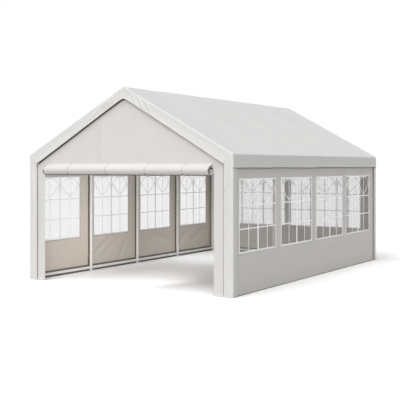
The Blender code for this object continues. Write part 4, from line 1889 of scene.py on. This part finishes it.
@dataclass
class TubeFrame:
    """The steel frame: posts, rafters, purlins with their fittings, and ground rails."""

    finishes: Finishes
    post_sides: int = 32
    socket_reach: float = 0.110
    socket_start: float = 0.032
    bolt_place: float = 0.078
    foot_radius: float = 0.045
    foot_thickness: float = 0.005
    rail_height: float = 0.053
    rail_sleeve_half: float = 0.035
    purlin_sleeve_half: float = 0.065
    sleeve_trim: float = 0.001
    purlin_end: float = 0.02
    # Painted shade: a dark strip fills the gap under each rail, where there is only shade.
    strip_height: float = 0.0035
    strip_end: float = 0.048
    back_strip_end: float = 0.02

    def axis_height(self, x: float) -> float:
        """Height of the rafters' axis at x, so that the sleeves carry the cover."""
        return float(TENT.under_roof(x)) - (TENT.sleeve + TENT.gap) / TENT.cosine

    def _finish(self, name: str, made: Steelwork, coats: int = 1) -> None:
        """Makes and dresses one piece, with that many coats of paint, zinc and strip."""
        finishes = [self.finishes.paint, self.finishes.zinc, self.finishes.dark_shade_tape][:coats]
        settle(made.made(f"{name}_tube", finishes), [name])

    def posts(self) -> None:
        """Builds the ten posts, each a tube on a round foot with a weld round its base."""
        top = self.axis_height(TENT.post_x) - self.socket_start - TENT.gap
        r, f, t = TENT.tube, self.foot_radius, self.foot_thickness
        profile = np.array([
            (0, 0), (f - 0.001, 0), (f, 0.001), (f, t - 0.0012), (f - 0.0012, t), (r + 0.006, t),
            (r + 0.0045, t + 0.0018), (r + 0.002, t + 0.0048), (r, t + 0.0062), (r, top - 0.001),
            (r - 0.001, top), (0, top),
        ])
        for side in Side:
            for n, y in enumerate(TENT.truss_places, 1):
                base = (side.value * TENT.post_x, y, 0)
                made = Steelwork().turned(profile, base, (0, 0, 1), self.post_sides)
                self._finish(f"post_{side.word}_{n}", made)

    def rafters(self) -> None:
        """Builds the ten rafters between the eave and ridge sockets."""
        for side in Side:
            for n, y in enumerate(TENT.truss_places, 1):
                eave = np.array([side.value * TENT.post_x, y, self.axis_height(TENT.post_x)])
                ridge = np.array([0.0, y, self.axis_height(0.0)])
                run = unit(ridge - eave) * (self.socket_start + TENT.gap)
                made = Steelwork()
                made.tube(eave + run, ridge - run, TENT.tube)
                self._finish(f"rafter_{side.word}_{n}", made)

    def _fitting(self, made: Steelwork, centre: Array, arms: list[Array], walled: tuple[bool, bool]) -> None:
        """Adds a purlin's fitting: a sleeve round the purlin, an arm for each tube, and their bolts.

        The bolts that would face an end wall are left out.

        Args:
            made: Where it is added.
            centre: Where the tubes' axes meet.
            arms: The arms' directions.
            walled: Whether its front and its back face an end wall.
        """
        short = TENT.sleeve - self.sleeve_trim
        before, after = (short if hidden else self.purlin_sleeve_half for hidden in walled)
        made.tube(centre - (0, before, 0), centre + (0, after, 0), TENT.sleeve)
        for arm in arms:
            made.socket(centre, arm, self.socket_reach)
            for way, hidden in zip((-1.0, 1.0), walled):
                out = np.array([0.0, way, 0.0])
                if not hidden:
                    made.bolt(centre + arm * self.bolt_place + out * TENT.sleeve, out)

    def purlins(self) -> None:
        """Builds the three purlins, each one bar with a welded fitting and its bolts at every truss."""
        up = np.array([TENT.cosine, 0.0, TENT.tangent * TENT.cosine])
        mirror = np.array([-1.0, 1.0, 1.0])
        down = np.array([0.0, 0.0, -1.0])
        for name, x, arms in (
            ("eave_purlin_left", -TENT.post_x, [down, up]),
            ("eave_purlin_right", TENT.post_x, [down, up * mirror]),
            ("ridge_purlin", 0.0, [-up, -up * mirror]),
        ):
            z = self.axis_height(x)
            made = Steelwork()
            start, end = TENT.first_truss - self.purlin_end, TENT.last_truss + self.purlin_end
            made.tube((x, start, z), (x, end, z), TENT.rail)
            for n, y in enumerate(TENT.truss_places, 1):
                self._fitting(made, np.array([x, y, z]), arms, (n == 1, n == TENT.trusses))
            self._finish(name, made, 2)

    def rails(self) -> None:
        """Builds the ground rails, the side ones with sleeves round the posts, and shade strips under them.
        """
        z, half = self.rail_height, self.rail_sleeve_half
        r, bore, h = TENT.sleeve, TENT.tube + 0.0003, 2 * half
        profile = np.array([
            (bore, 0.0006), (r - 0.001, 0), (r, 0.001), (r, h - 0.001), (r - 0.001, h), (bore, h - 0.0006),
            (bore, 0.0006),
        ])
        places, low = TENT.truss_places, self.strip_height
        for side in Side:
            x = side.value * TENT.post_x
            made = Steelwork()
            made.tube((x, TENT.first_truss, z), (x, TENT.last_truss, z), TENT.rail)
            for y in places:
                made.turned(profile, (x, y, z - half), (0, 0, 1), made.sides)
                made.bolt((x - side.value * r, y, z), (-side.value, 0, 0))
            for near, far in zip(places, places[1:]):
                made.strip((x, near + self.strip_end, low), (x, far - self.strip_end, low))
            self._finish(f"ground_rail_{side.word}", made, 3)
        made = Steelwork()
        end, y = TENT.post_x - TENT.sleeve - TENT.gap, TENT.last_truss
        made.tube((-end, y, z), (end, y, z), TENT.rail)
        made.strip((self.back_strip_end - end, y, low), (end - self.back_strip_end, y, low))
        self._finish("ground_rail_back", made, 3)

    def build(self) -> None:
        """Builds the whole frame."""
        self.posts()
        self.rafters()
        self.purlins()
        self.rails()


# Studio


@dataclass
class Studio:
    """The pale floor, the soft lights and the camera at the photograph's angle."""

    finishes: Finishes
    eye: Place = (8.120, -13.778, 1.947)
    yaw: float = 31.69
    focal_pixels: float = 848.8
    horizon_row: float = 165.52
    image_side: int = 400
    sensor: float = 36.0
    sight: float = 400.0
    fill: float = 0.15
    floor_reach: float = 300.0
    floor_height: float = -0.0005

    def floor(self) -> None:
        """Lays the floor, a wide grid just under the tent's feet."""
        side = np.linspace(-self.floor_reach, self.floor_reach, 3)
        x, y = np.meshgrid(side, side)
        points = stacked(x, y, self.floor_height)
        made = Gathered().surface(points[:, ::-1], stacked(x, y))
        made.made("studio_floor", [self.finishes.floor], closed=False)

    def sky(self) -> None:
        """Fills the scene with an even weak light, before a white backdrop that gives no light itself."""
        world = bpy.data.worlds.new("studio_white")
        world.use_nodes = True
        tree = world.node_tree
        back = tree.nodes["Background"]
        backdrop = tree.nodes.new("ShaderNodeBackground")
        path = tree.nodes.new("ShaderNodeLightPath")
        either = tree.nodes.new("ShaderNodeMixShader")
        for given, taken in (
            (path.outputs["Is Camera Ray"], either.inputs[0]),
            (back.outputs[0], either.inputs[1]),
            (backdrop.outputs[0], either.inputs[2]),
            (either.outputs[0], tree.nodes["World Output"].inputs["Surface"]),
        ):
            tree.links.new(given, taken)
        for light, strength in ((back, self.fill), (backdrop, 1.0)):
            light.inputs["Color"].default_value = (1.0, 1.0, 1.0, 1.0)
            light.inputs["Strength"].default_value = strength
        bpy.context.scene.world = world
        bpy.context.scene.view_settings.view_transform = "Standard"

    @staticmethod
    def _lamp(name: str, kind: str, energy: float, colour: Colour) -> bpy.types.Object:
        """Adds a light of that name, type, energy and colour at the origin, and returns it."""
        data = bpy.data.lights.new(name, kind)
        data.energy = energy
        data.color = colour
        lamp = bpy.data.objects.new(name, data)
        bpy.context.scene.collection.objects.link(lamp)
        return lamp

    def far_light(self, name: str, way: Place, power: float, spread: float, colour: Colour) -> None:
        """Adds a soft light from far away.

        Args:
            name: The light's name.
            way: The direction towards it.
            power: How bright it makes a white surface that faces it.
            spread: How wide it looks, in degrees.
            colour: Its colour.
        """
        lamp = self._lamp(name, "SUN", power * math.pi, colour)
        lamp.data.angle = math.radians(spread)
        x, y, z = way
        lamp.rotation_euler = (math.atan2(math.hypot(x, y), z), 0, math.atan2(y, x) + math.pi / 2)

    def glow(self, name: str, place: Place, turn: Place, size: Pair, bright: float,
             fan: float, colour: Colour) -> None:
        """Adds a wide soft light in the room, for what shines through the sheeting and the windows.

        Args:
            name: The light's name.
            place: Its middle.
            turn: Its rotation in degrees; without one it shines down.
            size: Its width and length.
            bright: How bright its face is, where 1 is white.
            fan: How far its light fans out, in degrees.
            colour: Its colour.
        """
        lamp = self._lamp(name, "AREA", bright * math.pi * size[0] * size[1], colour)
        lamp.data.spread = math.radians(fan)
        lamp.data.shape = "RECTANGLE"
        lamp.data.size, lamp.data.size_y = size
        lamp.location = place
        lamp.rotation_euler = tuple(math.radians(angle) for angle in turn)
        lamp.visible_camera = False
        lamp.visible_glossy = False

    def lights(self) -> None:
        """Adds soft lights, one high from the front and one low from the right, and four in the room."""
        white, warm, cool = (1.0, 1.0, 1.0), (1.0, 0.950, 0.885), (0.96, 0.98, 1.0)
        self.far_light("key_light", (0.0, -0.36, 0.93), 0.90, 45.0, white)
        self.far_light("front_light", (0.44, -0.865, 0.24), 0.52, 50.0, warm)
        self.glow("roof_glow", (0.1, -0.3, 2.30), (0, 0, 0), (2.6, 3.4), 0.19, 70.0, cool)
        self.glow("rear_glow", (-1.1, 1.7, 2.08), (0, 0, 0), (1.1, 2.2), 1.0, 80.0, cool)
        self.glow("window_glow", (1.90, 1.9, 1.0), (0, 90, 0), (1.0, 2.0), 0.75, 100.0, white)
        self.glow("door_glow", (0.7, -2.25, 1.0), (90, 0, 72), (1.0, 1.5), 3.35, 120.0, white)

    def camera(self) -> None:
        """Sets the camera, level and with its optical axis above the frame's middle, as in the photograph."""
        data = bpy.data.cameras.new("photo_camera")
        data.sensor_width = self.sensor
        data.lens = self.focal_pixels / self.image_side * self.sensor
        data.shift_y = (self.horizon_row - self.image_side / 2) / self.image_side
        data.clip_end = self.sight
        eye = bpy.data.objects.new("photo_camera", data)
        eye.location = self.eye
        eye.rotation_euler = (math.pi / 2, 0, math.radians(self.yaw))
        bpy.context.scene.collection.objects.link(eye)
        bpy.context.scene.camera = eye

    def build(self) -> None:
        """Sets up the whole studio."""
        self.floor()
        self.sky()
        self.lights()
        self.camera()


def window_row(side: Side, first: float, width: float, pitch: float) -> list[WindowHole]:
    """The four windows of a side wall.

    Args:
        side: Which wall.
        first: Where the first hole starts, from the tent's front face.
        width: The holes' width.
        pitch: The distance from one hole's start to the next one's.

    Returns:
        The holes, from front to back.
    """
    starts = enumerate(TENT.front + first + pitch * np.arange(4), 1)
    return [WindowHole(float(low), float(low + width), f"window_{side.word}_{n}") for n, low in starts]


def main() -> None:
    """Builds the tent piece by piece, then the studio."""
    logging.basicConfig(level=logging.INFO, format="%(message)s")
    finishes = Finishes()
    TubeFrame(finishes).build()
    RoofCover(finishes).build()
    for end in End:
        GableBand(finishes, end).build()
    for side, row in ((Side.RIGHT, (0.230, 1.225, 1.405)), (Side.LEFT, (0.205, 1.090, 1.490))):
        SideWall(f"side_wall_{side.word}", finishes, window_row(side, *row), side=side).build()
    back_holes = [
        WindowHole(-1.680, -0.060, "window_back_left"),
        WindowHole(0.060, 1.680, "window_back_right"),
    ]
    EndWall("back_wall", finishes, back_holes, end=End.BACK).build()
    EndWall("front_panel", finishes, end=End.FRONT).build()
    RolledDoor(finishes).build()
    Studio(finishes).build()


if __name__ == "__main__":
    main()
